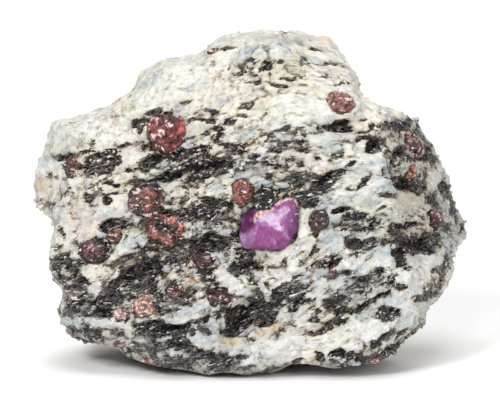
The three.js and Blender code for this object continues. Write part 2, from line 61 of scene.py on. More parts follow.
# ---- what the face shows ----
# Each mark is a ragged ellipse as the eye sees it, given in millimetres: its middle's x and z,
# half length and half width, and its tilt in degrees if it has one. The marks stand in lists under their
# strength, from 0 to 1.
MICA = {
    1: [(-37, 43.6, 3, 0.7, 3), (-33.4, 44.6, 2.2, 0.35, 8), (-25, 45.8, 1.6, 0.25, 10), (-40.2, 40, 1, 0.8),
        (-21.8, 50.4, 2, 1.1, 30), (-19.2, 52.6, 2, 0.8, 10), (-19.8, 43, 2.6, 1, 12),
        (-16.2, 44.2, 2.2, 1, 5), (-20.4, 41.6, 2.6, 0.28, 3), (-16.6, 39.6, 3.4, 1, 22),
        (-22, 38.6, 2.4, 0.6, -5), (-5, 65.3, 2, 0.6), (13.6, 65, 1.9, 0.5, -8),
        (-7.2, 52.7, 1.4, 0.28, -12), (-9.6, 51, 2.6, 0.3), (-9, 48.2, 1.1, 0.38, 5), (10, 49.2, 1.3, 0.35),
        (12.6, 48.5, 1.8, 0.25, -3), (16.4, 62.4, 3.2, 0.34, 3), (18.6, 58.4, 1.9, 0.3, 12),
        (17.8, 50.5, 2, 0.85, 15), (18.8, 49.4, 1.7, 0.7), (22.8, 51, 0.8, 0.42, 20),
        (22.4, 48.7, 1.5, 0.32), (24.4, 49.8, 0.5, 0.75), (22.8, 47.6, 1.3, 0.5, 5),
        (29.4, 50, 2.4, 1.3, 12), (30.2, 44.8, 1.5, 1.3), (31.4, 38.2, 2.3, 1.4), (14, 37.3, 2.6, 1.1, 15),
        (16.6, 39.6, 3.2, 1.1, 32), (20.2, 42.2, 1.1, 0.5, 35), (22.8, 38.6, 2.2, 0.6, 45),
        (-14.2, 44.2, 2.4, 1.6), (-12.4, 42.1, 3.2, 0.6, 10), (-6.5, 42.1, 4, 1.4, 5),
        (-4.4, 43.2, 1.7, 0.8, -10), (-9, 33.8, 3.6, 1.6, 8), (-0.6, 24.4, 2, 0.8, -18),
        (-1, 22.6, 2.4, 0.9), (-28.6, 35, 0.75, 0.62), (-27.7, 29.8, 2.8, 1.4, 8), (-22, 20.6, 4.8, 1.6, 28),
        (-28.2, 15.2, 2.8, 1.7, 10), (-14.6, 23.2, 3.4, 1.2, 10), (-22.4, 18.2, 3.6, 1.4, 15),
        (18.4, 33, 1.9, 0.48, 8), (31.6, 30, 2.7, 0.5, 8), (15.6, 21.8, 1.8, 1.2, -10),
        (26.2, 21, 0.9, 0.6, 20), (21.4, 13, 2.2, 0.45, 20), (17.6, 4.4, 2, 0.7, 8), (14, 3.6, 0.8, 1, 10),
        (2.6, 13.4, 2.6, 1.2, -35), (-2.2, 12.6, 2.2, 1.3, 10), (-2.6, 10, 2.4, 1.3, 15),
        (-3.8, 8.6, 1.8, 0.9, 10), (6.7, 22.8, 0.6, 1.1), (-1.4, 21.2, 2.6, 0.9, 5),
        (-13.6, 5.9, 3, 0.7, -8), (-9, 32.8, 3.8, 2, 8), (16.6, 22.8, 1.6, 1.6), (-22.2, 49.3, 0.8, 1.4),
        (-17.4, 8.8, 5.4, 1.2, 3), (27.4, 12, 2.7, 1.3), (-29, 12.5, 2.6, 1.2, 5), (2, 12.4, 2.8, 2, -30),
        (24.8, 45.8, 1.8, 1.5, 30), (-14, 25.9, 4, 1.2, 8), (-19.6, 17.2, 1.6, 1), (23.6, 25.6, 2, 0.4, 12),
        (17.3, 14.4, 2.2, 2.1), (39.4, 22.2, 1.6, 0.7, 55), (36.2, 16.2, 1.9, 0.7, 15),
        # The streak at x -40.6, z 34.6 is painted shadow under the bulge of the left side.
        (-40.6, 34.6, 1.5, 0.45, -20), (32.8, 43.7, 2, 0.7, -5), (31.2, 38.8, 3, 1.2),
        (36.8, 34.5, 1.7, 0.8, -60), (40.9, 32.2, 2.4, 0.7, -75), (42.7, 29.3, 0.9, 0.5, 40),
        (27.6, 35.9, 2, 0.7), (26.8, 33.6, 0.9, 0.35, 20), (31.6, 26.6, 3.6, 1.3, -8),
        (36.4, 27, 1.6, 1.5, -30), (30, 24.6, 1.8, 1.1), (33, 25, 1.8, 0.9), (-33.6, 8.7, 2, 0.5, -5),
        (-31.8, 12.2, 1.8, 0.5, -10), (-11, 4.9, 3, 0.4, -8)],
    0.95: [(-4.8, 46.2, 1.6, 0.4, -10), (15.4, 49.5, 2.2, 0.32, 5), (-10, 39.8, 2.5, 0.65, 10),
        (9.4, 39.2, 1.8, 1.3), (6.4, 36.9, 2, 0.5, 5), (3.4, 36.2, 2.2, 0.6, 20), (-5.8, 33, 2, 1.6),
        (-7, 26.8, 5, 1.2), (-9, 25.3, 4, 0.8), (-32.2, 35.8, 1, 0.4, -10), (-28.4, 27.3, 1, 0.9),
        (-32.4, 26.3, 1.8, 0.4, 25), (-25.6, 18.6, 2.4, 1.4, 30), (14.4, 38.9, 2.2, 1, 30),
        (29.6, 28.4, 1.5, 1.2), (33, 26.4, 3.4, 1.4, -8), (24.8, 17.4, 2, 0.28, 30), (25, 15, 3.4, 0.32, 27),
        (28.2, 18.8, 0.9, 0.7), (30, 17.6, 1.5, 0.8, -20), (27, 7.6, 1.4, 0.6, 20),
        (30.6, 7.8, 2.2, 0.5, 42), (28.2, 5.4, 2.4, 0.6, 38), (-8.9, 8.5, 1.2, 0.7, -25),
        (-19.6, 10.4, 2.4, 0.7, 10), (-12.4, 3, 2.8, 0.45, 8)],
    0.9: [(-31.6, 42.6, 2, 1.3, 60), (-29.4, 43.4, 3.4, 1.6, 15), (-30.4, 40.8, 2.6, 0.5, 15),
        (-37.6, 39.3, 3, 0.28, 3), (-24, 41.2, 2.2, 0.28, 10), (-29.6, 39.2, 2, 0.3, 35),
        (10.6, 62.8, 0.7, 1), (-0.8, 53.6, 2, 0.5, 25), (-6.2, 49.2, 1.4, 0.6, -20), (-4.4, 50.5, 1.1, 0.65),
        (-11.4, 46.6, 1.2, 0.28, 20), (-13, 54.6, 1.6, 0.5, 15), (-1.4, 45.8, 1, 0.4), (32, 51, 1.2, 0.7),
        (17.4, 44, 1.6, 0.7, 25), (20.4, 37.4, 1.4, 0.4, 10), (-5.8, 40.5, 1.8, 0.5, 5),
        (-2.2, 40.9, 1.2, 0.5), (0.4, 43.4, 1, 0.6, 20), (10.6, 36, 2.4, 0.65, 15),
        (-13.4, 32.8, 2.8, 0.5, 15), (-28.4, 36.2, 2.4, 0.32, 8), (-37.6, 28.4, 1.7, 0.4, -75),
        (-32.6, 22.8, 1.8, 0.35, 5), (-21, 25, 2.4, 0.8, 15), (-19.4, 23, 3, 0.6, 18),
        (-23.8, 15.4, 1.2, 0.6), (-13.6, 14.5, 2.4, 1), (-15.4, 26.5, 3, 0.7, 8), (11.6, 34.6, 2, 1.4),
        (20.8, 26, 2, 1), (27.4, 12.9, 2.4, 0.9), (28.8, 8.8, 1, 0.7, 10), (23.6, 3.2, 2.2, 0.6, 15),
        (20.8, 3.9, 1.7, 0.7), (9.6, 2.6, 1.4, 0.2, 12), (7.2, 16.8, 3.4, 1.7, 25),
        (-9.2, 20.6, 1.8, 1.1, -20), (-12.8, 15.6, 1.6, 0.9), (-5.4, 2.6, 2.6, 1.5), (-1.4, 1.4, 1.2, 0.4),
        (16.4, 10, 2.6, 0.7, 30), (24.2, 29.2, 1.5, 0.35, -10), (21.4, 16.4, 2, 0.3),
        (38.6, 19.8, 1.4, 0.5, 60), (35, 40.6, 0.5, 0.9, -20), (33.4, 36.9, 2, 0.9, 10),
        (-35.4, 17.2, 1.4, 0.9)],
    0.85: [(26.8, 47, 0.9, 0.7), (27.6, 44.8, 1.1, 0.5), (38.2, 37.8, 0.7, 1.2, -30), (13.6, 43.4, 1, 0.35),
        (-9.6, 45.2, 1.8, 0.8, 5), (-3.6, 44.8, 1.4, 0.4), (12.6, 39.4, 1.4, 1), (-6.4, 31.2, 1.4, 0.9),
        (-3, 28, 1.4, 0.4), (-41.6, 34.2, 1.8, 0.32, -25), (-20.2, 31.2, 2.2, 0.28, 15),
        (30.4, 22.8, 1.7, 1, -30), (20, 20.6, 0.9, 0.5), (37.4, 21.4, 1.2, 0.6, 45), (39.2, 23.4, 0.8, 1.4),
        (34.2, 15.4, 1.7, 0.8), (16.6, 11, 2.6, 0.4, 28), (8.8, 15, 1.8, 1.1), (5.2, 14.4, 1.4, 0.7),
        (9.6, 19.8, 1.6, 0.3, 10), (-10, 10.9, 3, 0.35, 15), (-14, 7.2, 2.4, 0.5, -15), (-2, 3.4, 1.2, 0.6)],
    0.8: [(7, 68.5, 1.4, 0.35), (0.2, 62.8, 1.4, 0.35, 8), (3.4, 62, 1.3, 0.5, -15),
        (0.4, 54.8, 2, 0.25, 20), (-1.2, 51.8, 1.4, 0.4, 5), (28.8, 43.2, 0.7, 1.4), (10.4, 42.2, 0.8, 0.7),
        (-39, 30, 1.2, 0.28, -85), (-38.2, 25.4, 1.1, 0.7), (-38.4, 21.4, 0.8, 0.8), (-18, 12.6, 1.6, 0.9),
        (-18.4, 20, 2.2, 0.5, 15), (20, 30.2, 2.4, 0.3), (25.4, 6, 1.2, 0.5, 30), (8.6, 13.2, 2, 0.35, 25),
        (-2, 19, 1.2, 0.3, -45), (-9, 18.6, 1.2, 0.5, 10), (-15.6, 12.8, 1.4, 0.5, 10),
        (-19.8, 5.2, 2.8, 0.9, 5), (21, 24.2, 1.8, 0.3, 10), (9.6, 24, 1.8, 0.3, 20), (33.7, 49.2, 0.5, 1.2),
        (35.3, 45.2, 0.4, 1.2, 10), (40.2, 35.2, 2.6, 0.8, -70), (-27, 9, 1.6, 0.25, -8),
        (-16.8, 1.6, 1.4, 0.4)],
    0.75: [(6.6, 49, 1.4, 0.6, 20), (-37.4, 36, 1.6, 0.28, 50), (36, 25, 1.5, 0.9),
        (26.6, 26.4, 1.2, 0.8, 45), (0.4, 18.8, 1.2, 0.35, -50), (-15, 2.4, 2.4, 0.5, -10),
        (-6.8, 4.2, 1.2, 0.8)],
    0.72: [(0.8, 58.4, 1.3, 0.4)],
    0.7: [(-31.6, 46.2, 1, 0.6, 60), (-27, 51.7, 1.4, 0.25, 8), (2.8, 52, 1.2, 0.28, 35),
        (-14.4, 53, 1.6, 0.25, 20), (36.6, 42.6, 0.9, 0.9), (5.6, 41.4, 0.8, 0.6), (-27.6, 38, 1.6, 0.32),
        (-18.2, 15.2, 1.6, 1, 20), (24.8, 30.4, 1.3, 0.8), (31.8, 21.6, 1.2, 0.7), (13, 28.4, 0.9, 1),
        (17, 2.6, 0.8, 0.5), (-4.6, 13, 1.2, 0.8), (3.6, 18, 1, 0.5, -50), (10.4, 22.8, 1.2, 0.3, 25),
        (-22.6, 5.6, 1.6, 0.6, -10), (-12.6, 1.6, 1.6, 0.4), (39.4, 29.6, 0.6, 1)],
    0.68: [(15, 60, 1, 0.38, 8)],
    0.65: [(-37.4, 23.6, 1.5, 1), (-35.6, 22.2, 2.4, 1.1, 5), (-28, 22, 3, 0.5, 10),
        (24, 26.8, 1.5, 0.5, 10)],
    0.64: [(3.6, 58.6, 1.8, 0.22, -5)],
    0.6: [(-1.8, 60.2, 1.1, 0.6, 5), (10.6, 45.6, 2, 0.9), (-8, 28.2, 2, 0.5), (-34, 15, 2.8, 1.6, 10),
        (-14, 20.6, 1.4, 0.7, 10), (21.4, 31.6, 2.4, 1.1), (22.4, 18.6, 3.6, 1.5, 20),
        (-13.6, 18.8, 1.2, 0.7, 10), (-30, 8, 2, 0.35, -15)],
    0.56: [(0.6, 60, 1, 0.5)],
    0.55: [(-35.4, 19.2, 3, 0.9), (22, 29, 1.5, 0.6), (13, 10.8, 1.4, 0.5)],
    0.5: [(8.4, 43, 1.2, 1), (-25.6, 11.2, 1.2, 0.5)],
    0.45: [(-36.4, 12.6, 1.4, 1.4)],
    0.4: [(5.4, 45.2, 1.7, 0.9, 10), (36.2, 17.6, 2, 1.1, 10)],
}

# Tints of the pale minerals, each laid over those before it: a mark with its tilt and its colour.
TINTS = [
    (-24, 12, 16, 7, -10, "bluish"), (-10, 5, 12, 4, 0, "bluish"), (36.4, 17.8, 1.8, 0.9, 10, "grey"),
    (33.4, 20, 2.6, 3.4, 0, "white"), (-31, 49, 9, 3.2, 8, "white"), (-22, 54, 7, 2, 15, "white"),
    (-2, 57, 9, 2, 5, "cream"), (10, 53, 7, 3, 0, "white"), (-36, 46, 4, 1.2, 10, "cream"),
    (-10, 61, 8, 2.4, 20, "white"), (6, 67, 8, 1.4, 0, "grey"), (9.6, 62.6, 2.6, 2, 0, "greenish"),
    (14.8, 67.2, 1.2, 1, 0, "peach"), (-33.6, 31, 3.4, 4, 0, "pinkish"), (-31, 18, 1.6, 1.8, 0, "white"),
    (-2, 17, 3, 2, 40, "white"), (-6, 20.6, 3.4, 1.8, 20, "white"), (4, 23.6, 2.4, 1.2, 0, "white"),
    (8.6, 25, 2.4, 1, 10, "white"), (11, 27.4, 1.4, 1.6, 0, "white"), (10, 6, 9, 2, 5, "white"),
    (20, 8.4, 6, 1.6, 15, "white"), (31.6, 12, 2, 4, -10, "white"), (34.6, 13, 0.7, 2.4, -10, "grey"),
    (36, 21, 3.4, 3, 0, "white"), (33, 35, 3, 2, 0, "greenish"), (36.6, 40, 1.4, 2, 0, "cream"),
    (22.4, 49.9, 1.3, 0.9, 0, "cream"), (2.4, 8.6, 1.8, 1, 20, "peach"), (5, 9.6, 1.5, 1.4, 0, "peach"),
    (13, 9.6, 1.2, 1, 0, "cream"), (-4.6, 6.8, 2.6, 1.2, 0, "yellow"), (-30, 9.4, 4, 0.8, -12, "cream"),
    (-12.4, 11.4, 3, 0.9, 20, "white"), (-12.6, 4.6, 2.2, 0.5, 0, "peach"), (22, 43, 3, 1.4, 10, "white"),
    (16, 45.6, 3, 1.2, 10, "bluish"), (-10.6, 30, 2.4, 1.6, 0, "bluish"),
    (-3.4, 30.2, 1.2, 1.4, 0, "greenish"), (-10.6, 49.3, 1.8, 1.2, 0, "greenish"),
    (2, 53, 2, 1.3, 10, "greenish"), (22.4, 40.4, 1.5, 0.8, 0, "grey"), (16, 28, 2.2, 1.4, 0, "bluish"),
    (18.2, 31, 1.8, 0.8, 0, "greenish"), (-42, 38, 1.4, 1.6, 0, "tan"), (10.6, 39, 0.9, 0.8, 0, "blue"),
    (-20.6, 43.2, 0.5, 0.3, 10, "blue"), (-9.4, 40.6, 0.6, 0.3, 0, "blue"),
    (5.6, 45.4, 1.8, 0.8, 0, "bluish"), (1.4, 19.4, 1.5, 1, 0, "bluish"), (-36.8, 19.2, 1.7, 1, 0, "bluish"),
    (-34, 15, 2.8, 1.8, 0, "grey"), (-5.4, 2.6, 2.6, 1.4, 0, "blue"), (-21, 4.6, 3, 1.2, 0, "grey"),
    (17, 14.6, 2, 2, 0, "blue"), (-25, 53.2, 1.8, 0.45, 25, "yellow"), (40, 30, 3, 6, 10, "bluish"),
    (27, 25, 5, 2, 10, "bluish"), (-26, 24.4, 5, 1.6, 15, "white"), (-13, 28.8, 3, 1, 5, "white"),
    (14, 34, 3, 1.6, 30, "bluish"), (24, 33.5, 2.4, 1.4, 0, "greenish"), (-24, 9.5, 4, 1.2, 8, "white"),
    (-34, 11, 3, 1.6, 0, "bluish"), (20, 23.6, 3, 1.2, 10, "white"), (4.6, 12.2, 2, 0.9, 10, "white"),
    # At x 33, z 46.6 the grey tint partly paints the shade of the right side, where the light falls off.
    (-38, 27, 1.2, 3, 0, "cream"), (30, 34, 3, 1.4, 0, "cream"), (33, 46.6, 3, 1.2, 10, "grey"),
]
# Where iron has stained it brown.
RUST = {
    1: [(-38, 37, 0.9, 0.7), (-11.6, 18.6, 1, 0.9), (1.6, 32.6, 2, 0.5, -20), (6, 34.4, 3, 0.5, 25)],
    0.9: [(14.6, 40.8, 1.7, 1, 20), (19.4, 43.6, 1.7, 0.45, 20), (-24.6, 28.8, 1.1, 0.45, -30),
        (12.8, 16.4, 0.6, 1.1)],
    0.8: [(12.6, 40, 0.9, 0.8), (-12, 37.8, 1.7, 0.8), (24.2, 6.2, 0.7, 0.6)],
    0.7: [(28.8, 10.6, 1.1, 0.6), (14.6, 64.6, 1.6, 0.5), (26.2, 31, 1, 0.5, -60)],
    0.6: [(12.4, 19, 0.9, 2.6), (19.2, 10.2, 1.5, 0.6, 20), (8.4, 60.6, 1.7, 0.8, 20)],
    0.5: [(22.8, 12.8, 1.1, 0.6)],
}
# Openings and deep dark slots: they sink furthest into the rock, and black shade is painted into their
# depths.
PITS = {
    1: [(-28.6, 35, 1, 0.9), (-10, 41.4, 5.4, 0.7, 10), (-2.4, 11.4, 2.8, 1.9, 30),
        (24.6, 46.2, 1.6, 1.1, 30), (-17.6, 9.2, 5, 0.8, 3)],
    0.9: [(-16.6, 39.6, 3.2, 0.9, 22)],
    0.8: [(30.2, 44.8, 1.4, 1.2), (33, 26.4, 3.2, 1.3, -8), (31.6, 30, 2.6, 0.5, 8),
        (28.2, 5.4, 2.2, 0.5, 38), (25, 15, 3.2, 0.3, 27)],
    0.7: [(-19.8, 43, 2.6, 1, 12), (-10, 39.8, 2.4, 0.6, 10), (18, 50, 2, 0.9, 10), (31.4, 38.2, 2.2, 1.3),
        (-19.6, 10.4, 2.2, 0.6, 10), (-8, 26.2, 5, 0.9), (18.4, 33, 1.8, 0.45, 8), (17.6, 4.4, 1.8, 0.6, 8),
        (15.6, 21.8, 1.7, 1.1, -10), (26.2, 21, 0.9, 0.6, 20), (14.6, 39, 3.4, 0.8, 34),
        (5, 16, 1.6, 0.4, 15)],
    0.6: [(-14.4, 44.8, 1.8, 1.1), (-27.7, 29.8, 2.6, 1.3, 8), (-22, 20.6, 4.8, 1.4, 28),
        (-0.8, 21.8, 3, 0.9), (3.4, 62, 1.2, 0.5, -15), (28.4, 12.6, 2, 0.7), (-29.2, 12.9, 2.2, 0.8, 8),
        (30.4, 24.8, 1.5, 0.9)],
    0.5: [(-37, 43.6, 3, 0.6, 3), (-13.6, 5.9, 2.8, 0.6, -8)],
}
# Where the pale parts are peppered with fine dark grains of mica.
DUST = {
    1: [(-18, 5, 9, 3.2, -6), (-20, 24, 12, 6, 25)],
    0.9: [(-14, 19, 11, 5, 20)],
    0.85: [(-31, 19, 12, 8, 20)],
    # The dust at x 33, z 46 partly paints the shade of the right side, where the light falls off.
    0.8: [(14, 10, 5, 2.4, 15), (-34, 14.5, 4.6, 5), (33, 46, 5, 5, -50), (0, 12, 7, 6)],
    0.75: [(-8, 41, 14, 3.6, 8)],
    0.7: [(22, 17, 6, 3, 15), (-31, 8, 4.4, 0.9, -12), (37, 36, 5, 3, -65), (-18, 29, 9, 5, 15),
        (-4, 21, 10, 4, 10)],
    0.6: [(38, 18, 2, 4, -30), (-12, 2, 7, 1.8), (-22, 42, 11, 4.4, 10), (-12, 34, 8, 2.4, 10),
        (-9, 30, 9, 6, 5)],
    0.55: [(-17, 8, 14, 5)],
    0.5: [(22, 29, 6, 4), (31, 45, 8, 7)],
    0.45: [(13, 25, 3, 5)],
    0.4: [(24, 22, 5, 2), (14, 18, 3, 5), (40, 28, 4, 4), (32, 27, 7, 6)],
    0.35: [(18, 17, 11, 6, 25), (9, 38, 11, 5, 10), (-8, 3, 13, 3)],
    0.3: [(15, 47, 10, 3.4), (24, 3, 8, 3, 10), (-34, 36, 8, 3, 15), (-12, 50, 8, 3, 10)],
    0.25: [(0, 47, 12, 4.4)],
    0.15: [(4, 60, 12, 4)],
}
# Patches of pale grains with hardly any mica in them.
CLEAR = {
    0.85: [(-31.4, 20.8, 2.6, 2.2, 15), (-25.4, 25.6, 2.5, 1.3, 30), (-27.6, 9.9, 5.4, 0.9, -12),
        (-13.4, 11.3, 3.2, 0.8, 15), (-8.6, 6.8, 3.2, 1.8, -10), (-3.4, 5.8, 2.4, 1.6),
        (-4.2, 18.6, 3.8, 1.4, -38), (-15.4, 4.6, 2.4, 0.9), (-1.2, 3.2, 1, 0.9), (-15.2, 20, 1.8, 1),
        (5.4, 5.4, 7.4, 1.9, 4), (20, 8.4, 5, 1.8, 14), (6.4, 3.2, 6, 1, 6), (31.8, 12, 2, 4.6, -10),
        (33, 20, 2.4, 3.6), (37, 23, 2.6, 1.8, 30), (26.8, 23.8, 2, 2.2), (21.6, 21.8, 3.6, 1.1),
        (16.4, 27.6, 2.4, 1.5), (6.6, 24.6, 3.8, 0.9), (11.4, 26.4, 1.5, 2.2), (17.4, 18.6, 1.4, 1.2),
        (13.8, 16.4, 0.8, 3.6, 10), (22.8, 27.8, 1.8, 0.9), (2.4, 8.6, 2.2, 1.3, 20), (12.8, 9.8, 1.8, 1),
        (-24, 43.8, 1.9, 1.6), (-25.4, 39.6, 2.2, 0.9, 20), (-11, 49.2, 1.7, 1.5), (14.6, 47.2, 2.8, 1.2),
        (14.4, 40.9, 1.5, 0.9, 30), (36.8, 38.6, 1.3, 2.2), (24, 42.6, 3.6, 1.8, 10), (21.8, 36, 4, 1.8),
        (30.4, 34.8, 3.2, 1.6), (24, 32.8, 1.9, 0.8), (-38.8, 35, 1.6, 1.1)],
}
# Where the mica lies flat and a blue-grey sheen is painted on it.
SHEENS = {
    1: [(17.2, 14.4, 2.2, 2.1), (36.4, 17.8, 2, 1.2), (-34, 15.4, 4.6, 4), (-19, 4.6, 9, 2.4, -8),
        (-36.6, 19, 2.4, 1.6)],
    0.9: [(39.4, 33, 1.6, 5, 10), (-4, 2.4, 5, 1.4), (4, 44.8, 4, 1.6, 5)],
    0.8: [(38.6, 21.6, 1.6, 3, -30), (-12, 13, 5, 3), (-8.6, 30.4, 4, 1.8), (32, 47, 4, 3, -40),
        (-12.6, 40, 3, 0.6, 15)],
    0.75: [(-24, 12, 15, 5, -10)],
    0.7: [(-17, 22.6, 5, 1.6, 20)],
    0.6: [(-3, 41.8, 2.6, 1.4), (18, 17, 5, 2, 25), (6, 37.4, 3, 1.6), (38, 30, 3, 5), (-6, 16, 5, 2, 20)],
}
# Garnets too small for a solid of their own: x, z, half length, half width, tilt, colour.
SMALL_GARNETS = [
    (24.5, 3, 1.8, 0.8, 10, "dull"), (-26.3, 6.3, 1.2, 0.8, 0, "dull"), (-36.4, 17.4, 1, 0.8, 0, "plum"),
    (16.7, 20.6, 0.9, 1.5, 0, "plum"), (-7.2, 64.7, 1.4, 0.7, 10, "brown"),
    (-20.2, 2.9, 1.8, 0.6, 0, "dull"),
]

PALETTE = {  # sRGB, 0 to 255
    "white": (230, 229, 222), "cream": (220, 214, 197), "pinkish": (224, 209, 199), "peach": (219, 190, 158),
    "bluish": (196, 204, 208), "blue": (112, 132, 156), "grey": (165, 167, 164), "greenish": (190, 193, 168),
    "yellow": (186, 172, 112), "tan": (172, 146, 112), "rust": (158, 90, 50), "quartz": (188, 190, 184),
    "dull": (150, 110, 104), "plum": (104, 66, 78), "brown": (118, 70, 52),
    "grime_and_shade": (116, 106, 90), "glassy": (178, 190, 198),
}


# ---- frames, colours and noise ----
def turned(x, z, degrees):
    """Two coordinates turned about their origin, the first toward the second."""
    c, s = math.cos(math.radians(degrees)), math.sin(math.radians(degrees))
    return x * c - z * s, x * s + z * c


def to_face(row):
    """Points of the row frame, in metres, in the face frame, in millimetres."""
    p = np.asarray(row, float) / MM - FACE_ORIGIN
    return np.column_stack((p[:, 0], *turned(p[:, 1], p[:, 2], LEAN)))


def to_row(face):
    """Points of the face frame, in millimetres, in the row frame, in metres."""
    p = np.asarray(face, float)
    return (np.column_stack((p[:, 0], *turned(p[:, 1], p[:, 2], -LEAN))) + FACE_ORIGIN) * MM


def colour(name):
    """A palette colour in linear light."""
    v = np.array(PALETTE[name]) / 255
    return np.where(v <= 0.04045, v / 12.92, ((v + 0.055) / 1.055) ** 2.4)


def grey(v):
    return (v, v, v)


def blend(base, rgb, share):
    """Colours drawn toward another one, by each point's share."""
    return base + (rgb - base) * share[:, None]


def ease(low, high, v):
    """0 at low, 1 at high, and a smooth step between."""
    t = np.clip((v - low) / (high - low), 0, 1)
    return t * t * (3 - 2 * t)


def chance(cell, seed):
    """A number from 0 to 1 for each whole-numbered cell. The large numbers only mix the bits."""
    c = cell.astype(np.int64)
    h = (c[..., 0] * 73856093) ^ (c[..., 1] * 19349663) ^ (c[..., 2] * 83492791) ^ (seed * 2654435761)
    h = (h & 0xFFFFFFFF).astype(np.uint64)
    for _ in range(2):
        h = ((h ^ (h >> np.uint64(15))) * np.uint64(2246822519)) & np.uint64(0xFFFFFFFF)
    return ((h ^ (h >> np.uint64(13))) & np.uint64(0xFFFFFF)).astype(float) / 0xFFFFFF


def noise(p, size, seed):
    """Smooth noise from -1 to 1. Its lumps are about as large as size, one number or one for each axis."""
    q = p / size
    base = np.floor(q)
    t = q - base
    t = t * t * (3 - 2 * t)
    total = 0
    for corner in itertools.product((0, 1), repeat=3):
        share = np.prod(np.where(corner, t, 1 - t), axis=1)
        total = total + share * chance(base + corner, seed)
    return total * 2 - 1


def cells(p, seed):
    """The grain that each point is in: its key, the way from its heart, and how far its border is."""
    base = np.floor(p)
    near = np.full(len(p), np.inf)
    second = near.copy()
    key = np.zeros_like(p)
    away = np.zeros_like(p)
    for step in itertools.product((-1, 0, 1), repeat=3):
        cell = base + step
        gap = p - (cell + np.column_stack([chance(cell, seed + k) for k in range(3)]))
        far = np.linalg.norm(gap, axis=1)
        closer = far < near
        second = np.where(closer, near, np.minimum(second, far))
        near = np.where(closer, far, near)
        key[closer] = cell[closer]
        away[closer] = gap[closer]
    return key, away, second - near


def broken(level, key, away, seed, step, tip):
    """Relief of broken grains: each lies at its own level and is tipped its own way."""
    lean = np.column_stack([chance(key, seed + k) - 0.5 for k in range(3)])
    return (level - 0.5) * step + np.sum(lean * away, axis=1) * tip


# ---- the foliation ----
def lie(x, z):
    """The layers' tilt across the face: 18 degrees at the left, 30 at the lower right, level above it."""
    right = ease(2, 20, x)
    tilt = 18 * (1 - right) + right * (30 - 30 * ease(24, 48, z))
    return np.radians(tilt)


DIP = 0.22  # how far the layers drop for each millimetre into the rock
LAYER_ORIGIN = (2.0, 34.0)  # x and z that the layers turn about


def layered(p):
    """Coordinates that follow the layers: along them, into the rock, and across them."""
    tilt = lie(p[:, 0], p[:, 2])
    c, s = np.cos(tilt), np.sin(tilt)
    x, z = p[:, 0] - LAYER_ORIGIN[0], p[:, 2] - LAYER_ORIGIN[1]
    return np.column_stack((x * c + z * s, p[:, 1], -x * s + z * c + DIP * p[:, 1]))


def seen(p):
    """Where the camera sees each point, in millimetres on the face frame's x-z plane."""
    k = EYE_DISTANCE / (EYE_DISTANCE + p[:, 1])
    return p[:, 0] * k, AIM[2] + (p[:, 2] - AIM[2]) * k


def inside(u, v, x, z, long, wide, tilt=0):
    """How deep in a mark's ellipse each point lies, in millimetres, below zero outside it."""
    along, across = turned(u - x, v - z, -tilt)
    return (1 - np.hypot(along / long, across / wide)) * min(long, wide)


def reach(u, v, centre, corners):
    """How far out each point lies: 0 at the centre, 1 on the outline through the corners."""
    ring = np.array(corners + corners[:1], float) - centre
    along = np.linspace(0, len(corners), 40 * len(corners), endpoint=False)
    line = np.column_stack([np.interp(along, range(len(ring)), ring[:, k]) for k in (0, 1)])
    turn, far = np.arctan2(line[:, 1], line[:, 0]), np.hypot(line[:, 0], line[:, 1])
    order = np.argsort(turn)
    dx, dz = u - centre[0], v - centre[1]
    return np.hypot(dx, dz) / np.interp(np.arctan2(dz, dx), turn[order], far[order], period=2 * math.pi)


# ---- meshes ----
WELD = 1e-6  # metres


def face_mesh(obj, inflate=0.0):
    """A CAD node's welded surface in the face frame, grown by so many millimetres."""
    bm = bmesh.new()
    bm.from_mesh(obj.data)
    bmesh.ops.remove_doubles(bm, verts=bm.verts, dist=WELD)
    bmesh.ops.recalc_face_normals(bm, faces=bm.faces)
    for vert, place in zip(bm.verts, to_face([v.co for v in bm.verts])):
        vert.co = place
    bm.normal_update()
    for vert in bm.verts:
        vert.co = vert.co + vert.normal * inflate
    mesh = bpy.data.meshes.new(obj.name + "_mm")
    bm.to_mesh(mesh)
    bm.free()
    return mesh


def places(mesh, what="co"):
    """Each vertex's place, or its normal."""
    found = np.empty(len(mesh.vertices) * 3)
    mesh.vertices.foreach_get(what, found)
    return found.reshape(-1, 3)


def put(mesh, points):
    """Moves the vertices to the points."""
    mesh.vertices.foreach_set("co", np.asarray(points, float).ravel())
    mesh.update()


def regrid(mesh, voxel, rounds):
    """The closed surface again in even quads, smoothed so many times."""
    holder = bpy.data.objects.new("regrid", mesh)
    bpy.context.scene.collection.objects.link(holder)
    remesh = holder.modifiers.new("remesh", "REMESH")
    remesh.mode = "VOXEL"
    remesh.voxel_size = voxel
    holder.modifiers.new("smooth", "SMOOTH").iterations = rounds
    graph = bpy.context.evaluated_depsgraph_get()
    made = bpy.data.meshes.new_from_object(holder.evaluated_get(graph))
    bpy.data.objects.remove(holder)
    return made


def piece(name, mesh, points, material, nodes=(), smooth=True):
    """The finished object in the row frame, riding on the rock's body."""
    put(mesh, to_row(points))
    mesh.polygons.foreach_set("use_smooth", np.full(len(mesh.polygons), smooth))
    mesh.materials.clear()
    mesh.materials.append(material)
    obj = bpy.data.objects.new(name, mesh)
    bpy.context.scene.collection.objects.link(obj)
    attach(obj, "root")
    if nodes:
        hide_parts(*nodes)
    return obj


def store(mesh, **kept):
    """Keeps numbers, vectors (lay) or colours (tone) at the vertices, for the materials to read."""
    for name, values in kept.items():
        values = np.asarray(values, float)
        kind, field = "FLOAT", "value"
        if name == "lay":
            kind, field = "FLOAT_VECTOR", "vector"
        elif name == "tone":
            kind, field = "FLOAT_COLOR", "color"
            values = np.column_stack((values, np.ones(len(values))))
        mesh.attributes.new(name, kind, "POINT").data.foreach_set(field, values.ravel())


# ---- materials ----
GARNET_IOR, RUBY_IOR = 1.76, 1.77


